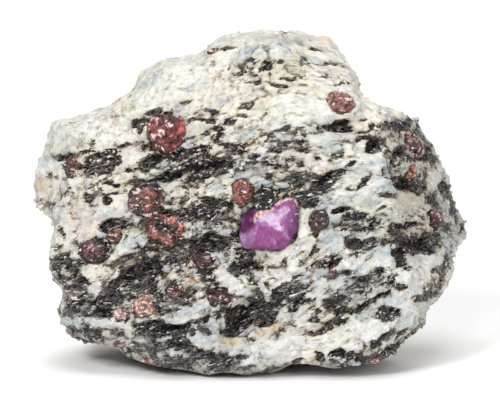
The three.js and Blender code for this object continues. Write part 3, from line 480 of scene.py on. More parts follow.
class Look:
    """A material and short names for the shader nodes it is built from."""

    def __init__(self, name):
        self.material = bpy.data.materials.new(name)
        self.material.use_nodes = True
        self.tree = self.material.node_tree
        self.tree.nodes.clear()

    def node(self, kind, inputs, **props):
        made = self.tree.nodes.new("ShaderNode" + kind)
        for key, value in props.items():
            setattr(made, key, value)
        for key, value in inputs.items():
            if isinstance(value, bpy.types.NodeSocket):
                self.tree.links.new(value, made.inputs[key])
            else:
                made.inputs[key].default_value = value
        return made

    def kept(self, name, output="Fac"):
        return self.node("Attribute", {}, attribute_name=name).outputs[output]

    def stretched(self, vector, scale):
        return self.node("Mapping", {"Vector": vector, "Scale": scale}).outputs[0]

    def noise(self, vector, scale, detail, rough):
        inputs = {"Vector": vector, "Scale": scale, "Detail": detail, "Roughness": rough}
        return self.node("TexNoise", inputs).outputs[0]

    def cells(self, vector, scale, output="Color", feature="F1"):
        return self.node("TexVoronoi", {"Vector": vector, "Scale": scale}, feature=feature).outputs[output]

    def span(self, value, low, high, to_low=0.0, to_high=1.0):
        inputs = {"Value": value, "From Min": low, "From Max": high, "To Min": to_low, "To Max": to_high}
        return self.node("MapRange", inputs).outputs[0]

    def sum(self, a, b):
        return self.node("Math", {0: a, 1: b}, operation="ADD").outputs[0]

    def times(self, a, b):
        return self.node("Math", {0: a, 1: b}, operation="MULTIPLY").outputs[0]

    def ragged(self, value, noise, low, high, by):
        """The value pushed up and down by the noise."""
        return self.sum(value, self.span(noise, low, high, -by, by))

    def mix(self, share, a, b, kind="MIX"):
        return self.node("Mix", {0: share, 6: a, 7: b}, data_type="RGBA", blend_type=kind).outputs[2]

    def shaded(self, base, value, stops):
        """The base multiplied by the ramp's colours."""
        return self.mix(1.0, base, self.ramp(value, stops), "MULTIPLY")

    def ramp(self, value, stops):
        """Colours between stops: each a place and an rgb tuple, or a number for a grey."""
        made = self.node("ValToRGB", {0: value})
        ramp = made.color_ramp
        while len(ramp.elements) < len(stops):
            ramp.elements.new(0.5)
        for element, (place, rgb) in zip(ramp.elements, stops):
            element.position = place
            element.color = (*(rgb if isinstance(rgb, tuple) else grey(rgb)), 1)
        return made.outputs[0]

    def vector(self, operation, inputs):
        return self.node("VectorMath", inputs, operation=operation).outputs[0]

    def facets(self, vector, scale, amount):
        """The normal tipped by its own chance in each cell, as on a surface of small broken faces."""
        tip = self.vector("SUBTRACT", {0: self.cells(vector, scale), 1: (0.5, 0.5, 0.5)})
        plain = self.node("NewGeometry", {}).outputs["Normal"]
        total = self.vector("ADD", {0: plain, 1: self.vector("SCALE", {0: tip, 3: amount})})
        return self.vector("NORMALIZE", {0: total})

    def bump(self, height, distance, strength=1.0, before=None):
        inputs = {"Height": height, "Distance": distance, "Strength": strength}
        if before is not None:
            inputs["Normal"] = before
        return self.node("Bump", inputs).outputs[0]

    def finish(self, **inputs):
        names = {"base": "Base Color", "rough": "Roughness", "normal": "Normal", "ior": "IOR",
                 "specular": "Specular IOR Level", "subsurface": "Subsurface Weight",
                 "radius": "Subsurface Radius", "scale": "Subsurface Scale"}
        shader = self.node("BsdfPrincipled", {names[key]: value for key, value in inputs.items()})
        out = self.node("OutputMaterial", {})
        self.tree.links.new(shader.outputs[0], out.inputs[0])
        return self.material


def gneiss_look():
    """Granular pale feldspar and quartz, with ragged streaks of black mica where the mica mask is high."""
    look = Look("gneiss")
    lay, sunk = look.kept("lay", "Vector"), look.kept("sunk")
    # The mask is the kept value pushed about by noise at flake size.
    rag = look.noise(look.stretched(lay, (1.4, 1.4, 3.0)), 1.0, 6, 0.8)
    fleck = look.cells(look.stretched(lay, (2.4, 2.4, 5.0)), 1.0)
    pushed = look.ragged(look.ragged(look.kept("mica"), rag, 0.2, 0.8, 0.65), fleck, 0.0, 1.0, 0.25)
    mask, brink = look.span(pushed, 0.47, 0.55), look.span(pushed, 0.33, 0.47)
    # Pale grains: the kept tone, a change from grain to grain, clouds, dirt in the seams, and painted shade
    # in the hollows with the dust.
    grain = look.cells(lay, 1.3)
    steps = [(0.1, (0.82, 0.835, 0.85)), (0.35, (0.93, 0.935, 0.94)), (0.6, 1.0), (1.0, 1.06)]
    tone = look.shaded(look.kept("tone", "Color"), grain, steps)
    veil = [(0.32, (0.5, 0.54, 0.58)), (0.42, (0.84, 0.86, 0.88)), (0.5, 1.0), (0.7, 1.04)]
    tone = look.shaded(tone, look.noise(lay, 0.8, 7, 0.75), veil)
    dirt = look.noise(look.stretched(lay, (1.0, 1.0, 1.8)), 0.9, 6, 0.8)
    # Painted shade in the hollows: the lower a point lies below its neighbours, the browner and darker it
    # is, and dust darkens it as well.
    grime_and_shade = look.sum(look.sum(sunk, -0.5), look.times(look.kept("dust"), 0.26))
    shade_and_grime_stops = [(0.1, 1.0), (0.26, (0.78, 0.76, 0.72)), (0.42, (0.42, 0.37, 0.3)),
             (0.6, (0.12, 0.1, 0.075))]
    tone = look.shaded(tone, look.ragged(grime_and_shade, dirt, 0.25, 0.75, 0.5), shade_and_grime_stops)
    # Dark seams between grains where the dirt noise is high, and more of them in the painted shade of the
    # hollows.
    joint = look.cells(look.stretched(lay, (0.7, 0.7, 1.3)), 1.0, "Distance", "DISTANCE_TO_EDGE")
    dirt_and_shade = look.span(look.sum(dirt, look.times(sunk, 0.2)), 0.6, 0.7)
    seam = look.times(look.span(joint, 0.0, 0.05, 1.0, 0.0), dirt_and_shade)
    tone = look.mix(look.times(seam, 0.85), tone, (0.05, 0.035, 0.022, 1))
    rust = look.ragged(look.kept("rust"), look.noise(lay, 1.8, 5, 0.75), 0.3, 0.7, 0.45)
    rust = look.span(rust, 0.5, 0.95)
    tone = look.mix(look.times(rust, 0.85), tone, (*colour("rust"), 1))
    warm = look.mix(1.0, tone, (1.0, 0.92, 0.76, 1), "MULTIPLY")
    tone = look.mix(look.span(pushed, 0.0, 0.34, 0.0, 0.5), tone, warm)
    brown = look.span(look.noise(lay, 0.8, 4, 0.7), 0.4, 0.6, 0.3, 0.95)
    tone = look.mix(look.times(brink, brown), tone, (0.13, 0.08, 0.038, 1))
    # Mica: stacked leaves, each with its own darkness, with thin brown streaks and silvery ones between
    # them; the silvery streaks are partly pale grains and partly painted glints.
    stack = look.stretched(lay, (1.5, 1.5, 7.5))
    leaf = look.cells(stack, 1.0)
    dark = look.ramp(leaf, [(0.0, (0.004, 0.003, 0.002)), (0.45, (0.01, 0.008, 0.006)),
                            (0.62, (0.025, 0.02, 0.017)), (0.76, (0.08, 0.078, 0.08)),
                            (0.9, (0.3, 0.29, 0.27))])
    # Painted sheen: blue-grey laid on the mica where it lies flat.
    sheen = look.ragged(look.kept("sheen"), look.noise(lay, 0.7, 5, 0.7), 0.3, 0.7, 0.5)
    sheen = look.times(look.span(sheen, 0.2, 0.7), look.span(leaf, 0.1, 0.9, 0.3, 1.0))
    dark = look.mix(sheen, dark, (0.13, 0.135, 0.15, 1))
    stain = look.noise(lay, 0.5, 4, 0.65)
    dark = look.mix(look.span(stain, 0.53, 0.64, 0.0, 0.55), dark, (0.06, 0.042, 0.024, 1))
    # Thin silvery and golden-brown streaks along the layers; the silvery ones are partly painted glints.
    streak = look.noise(look.stretched(lay, (0.7, 0.7, 5.0)), 1.2, 4, 0.7)
    shine = look.ramp(look.noise(lay, 0.45, 3, 0.6), [(0.44, (0.62, 0.61, 0.6)), (0.56, (0.46, 0.35, 0.2))])
    dark = look.mix(look.span(streak, 0.56, 0.61, 0.0, 0.9), dark, shine)
    dark = look.mix(look.times(rust, 0.5), dark, (*colour("rust"), 1))
    # Both together, a little warmer here and cooler there, and painted black shade in the deepest openings.
    base = look.mix(mask, tone, dark)
    tint = [(0.36, (0.95, 0.96, 1.0)), (0.5, (1.0, 0.985, 0.985)), (0.64, (1.01, 0.955, 0.87))]
    base = look.shaded(base, look.noise(lay, 0.5, 6, 0.8), tint)
    base = look.mix(look.kept("gloom"), base, (0.006, 0.004, 0.003, 1))
    # Relief finer than the mesh: tipped grain faces, leaf edges and a crumbly skin.
    pale_faces = look.facets(look.stretched(lay, (0.8, 0.8, 1.3)), 1.0, 0.4)
    dark_faces = look.facets(stack, 1.0, 0.9)
    faces = look.node("Mix", {0: mask, 4: pale_faces, 5: dark_faces}, data_type="VECTOR").outputs[1]
    height = look.sum(look.times(look.cells(lay, 2.2), 0.4), look.noise(lay, 2.2, 6, 0.8))
    rough = look.mix(mask, look.span(grain, 0, 1, 0.34, 0.6), look.span(leaf, 0, 1, 0.3, 0.14))
    return look.finish(base=base, rough=rough, normal=look.bump(height, 0.0003, 0.9, faces), specular=0.4)


def mica_look():
    """Loose leaves of biotite: each its own shade, glossy, with a finely striped surface."""
    look = Look("biotite_leaf")
    lay = look.kept("lay", "Vector")
    streak = look.noise(look.stretched(lay, (1.5, 1.5, 9.0)), 1.4, 4, 0.65)
    base = look.shaded(look.kept("tone", "Color"), streak, [(0.3, 0.4), (0.5, 1.0), (0.62, 2.2)])
    stain = look.span(look.noise(lay, 0.6, 3, 0.6), 0.56, 0.7, 0.0, 0.5)
    base = look.mix(stain, base, (0.08, 0.05, 0.025, 1))
    rough = look.span(streak, 0.3, 0.7, 0.12, 0.3)
    return look.finish(base=base, rough=rough, normal=look.bump(streak, 0.00006, 0.7), specular=0.4)


def garnet_look(name, rough, pale):
    """A glassy garnet: clouded deep red, dark cracks, small broken faces, and pale specks of painted
    highlight.
    """
    look = Look(name)
    lay = look.kept("lay", "Vector")
    cloud = look.noise(lay, 0.7, 5, 0.7)
    veil = [(0.36, 0.03), (0.46, 0.5), (0.54, 1.0), (0.66, 1.9)]
    base = look.shaded(look.kept("tone", "Color"), cloud, veil)
    base = look.shaded(base, look.cells(lay, 0.85), [(0.2, 0.55), (0.5, 1.0), (0.85, 1.35)])
    # Pale pink specks and streaks: painted highlights; pale sets how many.
    painted_glint = look.cells(look.stretched(lay, (1.1, 1.4, 2.2)), 1.0)
    painted_glint = look.ragged(painted_glint, look.noise(lay, 0.9, 4, 0.7), 0.35, 0.65, 0.4)
    painted_glint = look.span(painted_glint, 0.94 - pale, 1.04 - pale)
    base = look.mix(look.times(painted_glint, 0.9), base, (0.85, 0.62, 0.58, 1))
    cracked = look.span(look.noise(lay, 0.7, 3, 0.6), 0.4, 0.55)
    crack = look.span(look.cells(lay, 0.6, "Distance", "DISTANCE_TO_EDGE"), 0.0, 0.07, 1.0, 0.0)
    base = look.mix(look.times(look.times(crack, cracked), 0.92), base, (0.008, 0.005, 0.005, 1))
    waves = look.noise(look.stretched(lay, (0.7, 1.0, 1.3)), 1.0, 2, 0.5)
    normal = look.bump(waves, 0.0016, 1.0, look.facets(lay, 0.75, 0.6))
    normal = look.bump(look.noise(lay, 2.0, 4, 0.7), 0.0002, 0.6, normal)
    rough = look.span(cloud, 0.35, 0.65, rough, rough + 0.1)
    return look.finish(base=base, rough=rough, normal=normal, ior=GARNET_IOR, specular=0.33)


def ruby_look():
    """Cloudy violet-red corundum: zoned colour, frosted growth lines and a waxy shine."""
    look = Look("ruby")
    lay = look.kept("lay", "Vector")
    cloud = look.noise(lay, 0.8, 6, 0.7)
    lines = look.noise(look.stretched(lay, (2.6, 1.0, 0.7)), 1.3, 4, 0.6)
    fine = look.noise(lay, 1.5, 7, 0.8)
    base = look.shaded(look.kept("tone", "Color"), lines, [(0.32, 0.7), (0.5, 1.0), (0.68, 1.3)])
    base = look.mix(look.span(cloud, 0.5, 0.7, 0.0, 0.3), base, (0.55, 0.3, 0.58, 1))
    frost = look.span(look.ragged(look.kept("frost"), fine, 0.3, 0.7, 0.6), 0.4, 1.1, 0.0, 0.85)
    base = look.mix(frost, base, (0.72, 0.58, 0.76, 1))
    # The crust of the rock's grains that still clings to it.
    crust = look.span(look.ragged(look.kept("crust"), fine, 0.3, 0.7, 0.5), 0.42, 0.6)
    crumbs = look.sum(look.noise(lay, 1.6, 5, 0.8), -0.22)
    crumbs = look.sum(look.times(look.cells(lay, 3.0), 0.5), crumbs)
    crumbs = look.ramp(crumbs, [(0.25, (0.36, 0.08, 0.08)), (0.42, (0.55, 0.26, 0.24)),
                                (0.6, (0.74, 0.52, 0.48)), (0.8, (0.85, 0.76, 0.74))])
    base = look.mix(crust, base, crumbs)
    fleck = look.cells(look.stretched(lay, (3.0, 2.0, 1.6)), 1.0)
    fleck = look.sum(fleck, look.span(cloud, 0.4, 0.6, -0.25, 0.1))
    base = look.mix(look.span(fleck, 0.8, 0.9, 0.0, 0.55), base, (0.16, 0.04, 0.15, 1))
    height = look.sum(lines, look.times(fine, 1.2))
    normal = look.bump(height, 0.00025, 0.7, look.facets(lay, 0.9, 0.22))
    return look.finish(base=base, rough=look.span(fine, 0.3, 0.7, 0.3, 0.5), normal=normal, ior=RUBY_IOR,
                       specular=0.16, subsurface=0.12, scale=0.001, radius=(1.0, 0.3, 0.9))


# ---- the rock ----
# The rock is swollen so toward the viewer before it is cut into even quads, and shrunk back after it.
FRONT_SCALE, BACK_SCALE = 1.6, 0.66
SWELL_START, SWELL_END = -20.0, 2.0  # mm along y, between which the scale changes
SWELL_REACH = 40.0  # mm, past the rock's front and back
SWELL_CENTRE = np.array([0, 0, 34.0])
ROCK_VOXEL = 0.56  # mm in the swollen rock


def swell(p, undo=False):
    """Widens the rock toward the viewer, so that even quads come out finest on its face."""
    y = np.linspace(-SWELL_REACH, SWELL_REACH, 400)
    scale = FRONT_SCALE + (BACK_SCALE - FRONT_SCALE) * ease(SWELL_START, SWELL_END, y)
    swollen = np.concatenate(([0], np.cumsum((scale[1:] + scale[:-1]) / 2 * np.diff(y))))
    if undo:
        depth = np.interp(p[:, 1], swollen, y)
        out = p / np.interp(depth, y, scale)[:, None] + SWELL_CENTRE
        out[:, 1] = depth
    else:
        out = (p - SWELL_CENTRE) * np.interp(p[:, 1], y, scale)[:, None]
        out[:, 1] = np.interp(p[:, 1], y, swollen)
    return out


FAINTEST = 0.35  # what a mark with a strength of 0 would still give
WINDOW = 2  # a mark is looked for within so many half lengths, and as many mm more, of its middle


def flags(u, v, facing, marks, soft, spread=0.0):
    """The strongest mark at each seen point, from 0 to 1.

    A mark has half its strength on its edge, all of it so many soft millimetres inside, and none as far
    outside. Wide marks fade over a wider edge, by spread for each millimetre of half width.
    """
    mask = np.zeros(len(u))
    for strength, mark in ((strength, mark) for strength in marks for mark in marks[strength]):
        x, z, long, wide = mark[:4]
        window = WINDOW * long + WINDOW
        near = np.flatnonzero((abs(u - x) < window) & (abs(v - z) < window))
        edge = soft + spread * min(long, wide)
        value = ease(-edge, edge, inside(u[near], v[near], *mark))
        mask[near] = np.maximum(mask[near], value * (FAINTEST + (1 - FAINTEST) * strength))
    return mask * facing


TINT_SHARE = 0.75


def paint(p, u, v, facing, base):
    """The base colours with the tints laid over them, thin and patchy."""
    patchy = 0.75 + 0.5 * noise(p, 1.3, 43) + 0.35 * noise(p, 0.6, 44)
    for *mark, name in TINTS:
        share = ease(-0.9, 0.8, inside(u, v, *mark)) * facing * patchy * TINT_SHARE
        base = blend(base, colour(name), np.clip(share, 0, 1))
    return base


def spread_out(mesh, values, rounds):
    """The values averaged over the mesh's edges, again and again."""
    ends = np.empty(len(mesh.edges) * 2, int)
    mesh.edges.foreach_get("vertices", ends)
    a, b = ends[::2], ends[1::2]
    size = len(values)
    count = np.bincount(a, minlength=size) + np.bincount(b, minlength=size) + 1
    for _ in range(rounds):
        around = np.bincount(a, values[b], size) + np.bincount(b, values[a], size)
        values = (around + values) / count
    return values


# The ruby's middle and its outline as the eye sees them: x and z.
RUBY_HEART = (3.8, 29.8)
RUBY_OUTLINE = [
    (-1.9, 31), (-1.3, 32.1), (-0.3, 32.9), (0.8, 33.4), (2.4, 34.2), (4.6, 34.6), (6.2, 35.1), (7.9, 35.5),
    (9.3, 35.2), (9.7, 34.2), (9.95, 32.1), (9.75, 30.2), (9.3, 28.2), (8.7, 26.6), (7.1, 25.7), (6.1, 25.2),
    (4.6, 25), (-0.3, 25.1), (-1.3, 25.4), (-2, 26.7), (-2.2, 27.8), (-2.05, 29.2),
]
RUBY_BEVEL = 1.7  # mm from the ruby's front back to its widest section


def ruby_girdle(frame):
    """How far back the ruby is widest, in millimetres along y."""
    ruby = frame["nodes"]["ruby_crystal"].data
    return to_face([v.co for v in ruby.vertices])[:, 1].min() + RUBY_BEVEL


def looks_at_camera(normal):
    """1 where the surface turns to the camera, 0 where it turns away."""
    return ease(0.12, -0.12, normal[:, 1])


# Where the rock's outline is drawn to the one that the eye sees: x, z, reach, and how far right and up.
PULLS = [
    (24, 57, 4, -0.9, -0.6), (30, 53, 3, -0.2, -0.7), (34.8, 49.4, 2.6, -0.6, -0.2),
    (36.8, 45.6, 2, 0.8, 0.2), (38.9, 41.6, 2.4, -0.5, 0), (42, 24.6, 3.4, -0.7, 0.1),
    (36, 12.6, 3.4, -0.7, 0.2), (31, 7.4, 3, -0.4, 0.4), (-25.6, 4.6, 4, 0.2, 0.8),
    (-36.6, 8.6, 2.4, 0.4, 0.7), (-35, 52.4, 4, 0.2, -0.8), (-24, 58.4, 3.4, 0.6, -0.7),
    (-10, 66, 6, 0.2, -0.7), (15.6, 67.2, 2.6, 0.6, 0.7), (43.8, 32, 2.4, 0.5, 0),
]
CLEAN, SOLID = -0.2, 1.03  # the mica mask in clean feldspar and in a mica streak
GRAIN, CHIP = (3.3, 3.0, 2.1), (1.35, 1.3, 0.9)  # mm along the layers, into the rock and across
WHOLE_SHARE = 0.45  # of the large grains, those that aren't broken into small ones
MICA_SINK, PIT_SINK = 0.38, 1.5  # mm
FOOT_HELD, FOOT_FREE = 0.0012, 0.004  # metres above the ground, where the relief starts and is whole
BED_GAP, BED_RISE = 0.35, 2.6  # mm from the ruby's widest section back to its bed, and up the bed's side
BED_RIM = 1.14  # how far past the ruby's outline its bed reaches
ROCK_PAST = 0.6  # mm that the rock's grains may reach past its solid


def layers(lay, *waves):
    """Noise in the layers' coordinates, as a sum of waves: each a strength, a size and a seed."""
    return sum(strength * noise(lay, size, seed) for strength, size, seed in waves)


def held(points, past):
    """Face-frame points in the row frame, kept to the box of the rock's solid and a little past it."""
    low, high = (np.array(corner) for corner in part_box("gneiss_matrix"))
    return np.clip(to_row(points), low - np.array([past + 0.2, past, 0]) * MM,
                   high + np.array([past + 0.2, past, past]) * MM)


def make_rock(frame):
    """The rock, and the mica mask at each of its vertices."""
    source = face_mesh(frame["nodes"]["gneiss_matrix"])
    put(source, swell(places(source)))
    mesh = regrid(source, ROCK_VOXEL, 5)
    put(mesh, swell(places(mesh), undo=True))
    p, n = places(mesh), places(mesh, "normal")
    lay = layered(p)
    u, v = seen(p)
    # The eye's marks wander a little, so no edge stays a clean ellipse.
    u = u + noise(p, 1.8, 3) * 0.4 + noise(p, 0.7, 4) * 0.2
    v = v + noise(p, 1.8, 5) * 0.3 + noise(p, 0.7, 6) * 0.16
    facing = looks_at_camera(n)

    # Bands of mica, thin and long, for every side that the marks don't cover.
    bands = layers(lay, (1, (9, 8, 1.9), 11), (0.7, (4, 4, 0.9), 12), (0.45, (1.6, 1.6, 0.5), 13),
                   (0.35, 13.0, 14))
    breaks = layers(lay, (1, (2.4, 2.2, 0.7), 15), (0.8, (1.2, 1.2, 0.4), 16), (0.6, (4.5, 4, 1.2), 17))
    streaks = np.maximum(flags(u, v, facing, MICA, 0.3, 0.45), (1 - facing) * ease(-0.15, 0.9, bands))
    dust = flags(u, v, facing, DUST, 2.0, 0.3)
    dust = np.maximum(dust, (1 - facing) * (0.2 + 0.5 * ease(-0.5, 0.8, bands)))
    # Painted shade under the overhangs: low surfaces that face down get dust of 0.9, so mica specks and
    # grime darken them.
    underside_shade = ease(-0.1, -0.6, n[:, 2]) * ease(14, 9, p[:, 2])
    dust = np.maximum(dust, 0.9 * underside_shade)
    dust = dust * (1 - flags(u, v, facing, CLEAR, 0.5))
    peppered = np.clip(dust, 0, 1)
    # Grains of the pale minerals, some broken into smaller ones. In peppered rock some of the small
    # ones are mica, and mica lines the borders.
    wavy = lay + 0.4 * np.column_stack([noise(p, 1.6, 25 + k) for k in range(3)])
    key, away, border = cells(wavy / GRAIN, 31)
    key2, away2, border2 = cells(wavy / CHIP, 61)
    own, own2 = chance(key, 41), chance(key2, 62)
    whole = own < WHOLE_SHARE
    rim = ease(0.2, 0.04, border)
    rim = np.where(whole, rim, np.maximum(rim, 0.75 * ease(0.26, 0.06, border2)))
    leafy = ~whole & (own2 < 0.12 + 0.5 * peppered)
    mica = CLEAN + ease(0.0, 0.5, dust) * np.where(leafy, 1.0 - 0.3 * rim, rim * (0.35 + 0.4 * dust))
    mica = mica + (SOLID - mica) * streaks + 0.2 * breaks * (0.35 + 0.65 * np.maximum(dust, streaks))
    pits = flags(u, v, facing, PITS, 0.5)
    # Painted sheen at random, besides the marks.
    glints = 0.45 * ease(0.1, 0.6, noise(lay, (5, 5, 2), 23))
    sheen = np.maximum(flags(u, v, facing, SHEENS, 1.2), glints)
    stains = 0.8 * ease(0.6, 1.0, noise(p, 2.6, 21) + 0.35 * noise(p, 0.9, 22))
    rust = 0.8 * np.maximum(flags(u, v, facing, RUST, 0.6), stains)

    # Pale minerals: a slow change of tint, then each grain's own.
    slow = layers(lay, (1, (12, 12, 5), 42), (0.5, (4, 4, 2), 45)) + 0.02 * (p[:, 2] - 34)
    base = blend(colour("bluish"), colour("cream"), ease(-0.6, 0.6, slow))
    base = blend(base, colour("white"), 0.45 + 0.4 * (own < 0.5))
    quartz = ease(0.25, 0.6, layers(lay, (1, (3.6, 3.4, 1.5), 46), (0.4, (1.3, 1.3, 0.7), 47)))
    base = blend(base, colour("quartz"), quartz * (0.35 + 0.4 * peppered))
    base = blend(base, colour("glassy"), 0.6 * (own < 0.13))
    base = paint(p, u, v, facing, base)
    # Grime on broken grains in dusty places, and with it the painted shade under the overhangs.
    dirt_and_shade = ease(0.1, 0.8, dust) * np.where(whole, 0.1, 0.45 * own2) * (0.85 + 0.6 * noise(p, 1.2, 49))
    base = blend(base, colour("grime_and_shade"), np.clip(dirt_and_shade, 0, 1))

    # Relief: broken grains with flat tops, smaller chips on them, sunken leafy mica, deep pits.
    grains = broken(own, key, away, 50, 0.6, 1.3) - 0.12 * ease(0.2, 0.0, border)
    chips = broken(own2, key2, away2, 70, 0.34, 0.8) * np.where(whole, 0.35, 1)
    leaves = layers(lay, (0.24, (1.8, 1.8, 0.4), 81), (0.2, (3.5, 3.5, 0.8), 82))
    dark = ease(0.3, 0.7, mica)
    calm = 1 - 0.55 * ease(0.4, 0.0, dust) * facing  # clean feldspar breaks smoother
    relief = (1 - dark) * (grains + chips) * calm + dark * (leaves - MICA_SINK)
    relief = relief - PIT_SINK * ease(0.3, 0.9, pits) + 0.3 * noise(p, 5.0, 91) + 0.12 * noise(p, 0.8, 92)
    relief = relief + (1 - abs(n[:, 1])) * 0.35 * noise(p, 2.4, 93)  # more jagged where it turns away

    above = ease(FOOT_HELD, FOOT_FREE, to_row(p)[:, 2])  # the flat foot stays as it is
    # How far each point lies below its neighbours, for the material to paint shade into the hollows.
    sunk = 0.5 + (spread_out(mesh, relief, 24) - relief) * above
    moved = p + n * (relief * above)[:, None]
    u, v = seen(moved)
    for x, z, wide, right, up in PULLS:
        share = ease(wide, 0, np.hypot(u - x, v - z)) * above
        moved = moved + share[:, None] * [right, 0, up]
    # Nothing of the rock stands before the ruby.
    out = reach(*seen(moved), RUBY_HEART, RUBY_OUTLINE)
    bed = ruby_girdle(frame) + BED_GAP - BED_RISE * ease(1.0, BED_RIM, out)
    in_bed = (out < BED_RIM) & (facing > 0)
    moved[:, 1] = np.where(in_bed, np.maximum(moved[:, 1], bed), moved[:, 1])
    # The pits' depths get painted black shade.
    store(mesh, tone=base, mica=mica, dust=dust, sunk=sunk, rust=rust, sheen=sheen, lay=lay,
          gloom=ease(0.45, 0.95, pits) * 0.8)
    moved = to_face(held(moved, ROCK_PAST))
    return piece("rock", mesh, moved, gneiss_look(), ["gneiss_matrix"]), mica


# ---- mica leaves ----
RIM = 5  # corners of a leaf
STRETCH = (1.4, 3.2)  # how much longer a leaf is than wide
# A leaf's shades from black to silvery and brown, and the share of the leaves that has each. The silvery
# shade is a painted glint of leaves that catch the light.
LEAF_SHADES = np.array([(0.004, 0.003, 0.002), (0.012, 0.01, 0.01), (0.04, 0.038, 0.04), (0.14, 0.135, 0.14),
                        (0.52, 0.49, 0.44), (0.12, 0.075, 0.035)])
LEAF_SHARES = [0.37, 0.22, 0.17, 0.13, 0.07, 0.04]
# Where the rock turns away further than this its leaves lie flat, so none stands up on the outline.
STEEP = 0.75
FLAT_SHARE = 0.65  # of the leaves, those that lie on the surface and not along the layers
LEAF_GROUND = 0.0025  # metres, no leaf lies lower
LEAF_PAST = 0.7  # mm that a leaf may reach past the rock's solid


def leaf_shades(count, random):
    return LEAF_SHADES[random.choice(len(LEAF_SHADES), count, p=LEAF_SHARES)]


def leaf_mesh(name, centres, faces_to, along, radius, thick, shade, random):
    """Closed five-cornered plates, one for each centre, as one mesh."""
    count = len(centres)
    normal = faces_to / np.linalg.norm(faces_to, axis=1)[:, None]
    side = along - normal * np.sum(along * normal, axis=1)[:, None]
    side /= np.linalg.norm(side, axis=1)[:, None]
    other = np.cross(normal, side)
    turn = np.arange(RIM) / RIM * 2 * math.pi
    far = radius[:, None] * random.uniform(0.7, 1.15, (count, RIM))
    stretch = random.uniform(*STRETCH, count)
    out = (side[:, None] * (np.cos(turn) * far * stretch[:, None])[..., None]
           + other[:, None] * (np.sin(turn) * far)[..., None])
    up = normal[:, None] * (thick / 2)[:, None, None]
    out = centres[:, None] + out
    points = np.concatenate((out + up, out - up), axis=1).reshape(-1, 3)
    ring = list(range(RIM))
    shapes = [ring, [RIM + k for k in reversed(ring)]]
    shapes += [[k, RIM + k, RIM + (k + 1) % RIM, (k + 1) % RIM] for k in ring]
    faces = [[start + k for k in shape] for start in range(0, count * 2 * RIM, 2 * RIM) for shape in shapes]
    mesh = bpy.data.meshes.new(name)
    mesh.from_pydata(points.tolist(), [], faces)
    shift = np.repeat(random.uniform(-9, 9, (count, 3)), 2 * RIM, axis=0)
    store(mesh, lay=layered(points) + shift, tone=np.repeat(shade, 2 * RIM, axis=0))
    return mesh, points


def scatter(rock, mica, count, front, random):
    """Random spots on the rock's mica: their places and normals, and whether the rock turns away there."""
    mesh = rock.data
    p = to_face(places(mesh))
    quads = np.array([f.vertices[:3] for f in mesh.polygons])
    a, b, c = (p[quads[:, k]] for k in range(3))
    cross = np.cross(b - a, c - a)
    area = np.linalg.norm(cross, axis=1)
    normal = cross / np.maximum(area, 1e-9)[:, None]
    # The way the rock faces as a whole, without its grains.
    broad = np.column_stack([spread_out(mesh, n, 60) for n in places(mesh, "normal").T])
    broad /= np.linalg.norm(broad, axis=1)[:, None]
    sideways, _ = turned(broad[:, 1], broad[:, 2], LEAN)
    side = looks_at_camera(normal) if front else 1 - looks_at_camera(normal)
    weight = area * ease(0.4, 0.8, mica[quads].mean(axis=1)) * side * (to_row(a)[:, 2] > LEAF_GROUND)
    pick = random.choice(len(quads), count, p=weight / weight.sum())
    s, t = random.random((2, count))
    flip = s + t > 1
    s, t = np.where(flip, 1 - s, s), np.where(flip, 1 - t, t)
    place = a[pick] + (b - a)[pick] * s[:, None] + (c - a)[pick] * t[:, None]
    edge = abs(sideways[quads[pick, 0]]) < STEEP
    return place, np.where(edge[:, None], broad[quads[pick, 0]], normal[pick]), edge


def make_leaves(name, rock, mica, count, front, size, seed):
    """Loose leaves of about the same size, in millimetres, on the rock's front or on all its other sides."""
    random = np.random.default_rng(seed)
    place, normal, edge = scatter(rock, mica, count, front, random)
    tilt = lie(place[:, 0], place[:, 2])
    stack = np.column_stack((-np.sin(tilt), np.full(count, DIP), np.cos(tilt)))
    jitter = random.normal(0, 0.22, (count, 3))
    flat = edge | (random.random(count) < FLAT_SHARE)
    faces_to = np.where(flat[:, None], normal + jitter * np.where(edge, 0.5, 1.3)[:, None], stack + jitter)
    along = np.column_stack((np.cos(tilt), np.zeros(count), np.sin(tilt)))
    along = along + random.normal(0, 0.16, (count, 3))
    radius = size * np.exp(random.normal(0, 0.32, count)) * np.where(edge, 0.6, 1)
    thick = random.uniform(0.07, 0.16, count)
    shade = leaf_shades(count, random)
    centre = place + normal * (random.uniform(-0.12, 0.1, count) - 0.06 * edge)[:, None]
    mesh, points = leaf_mesh(name, centre, faces_to, along, radius, thick, shade, random)
    piece(name, mesh, to_face(held(points, LEAF_PAST)), MICA_LOOK, smooth=False)


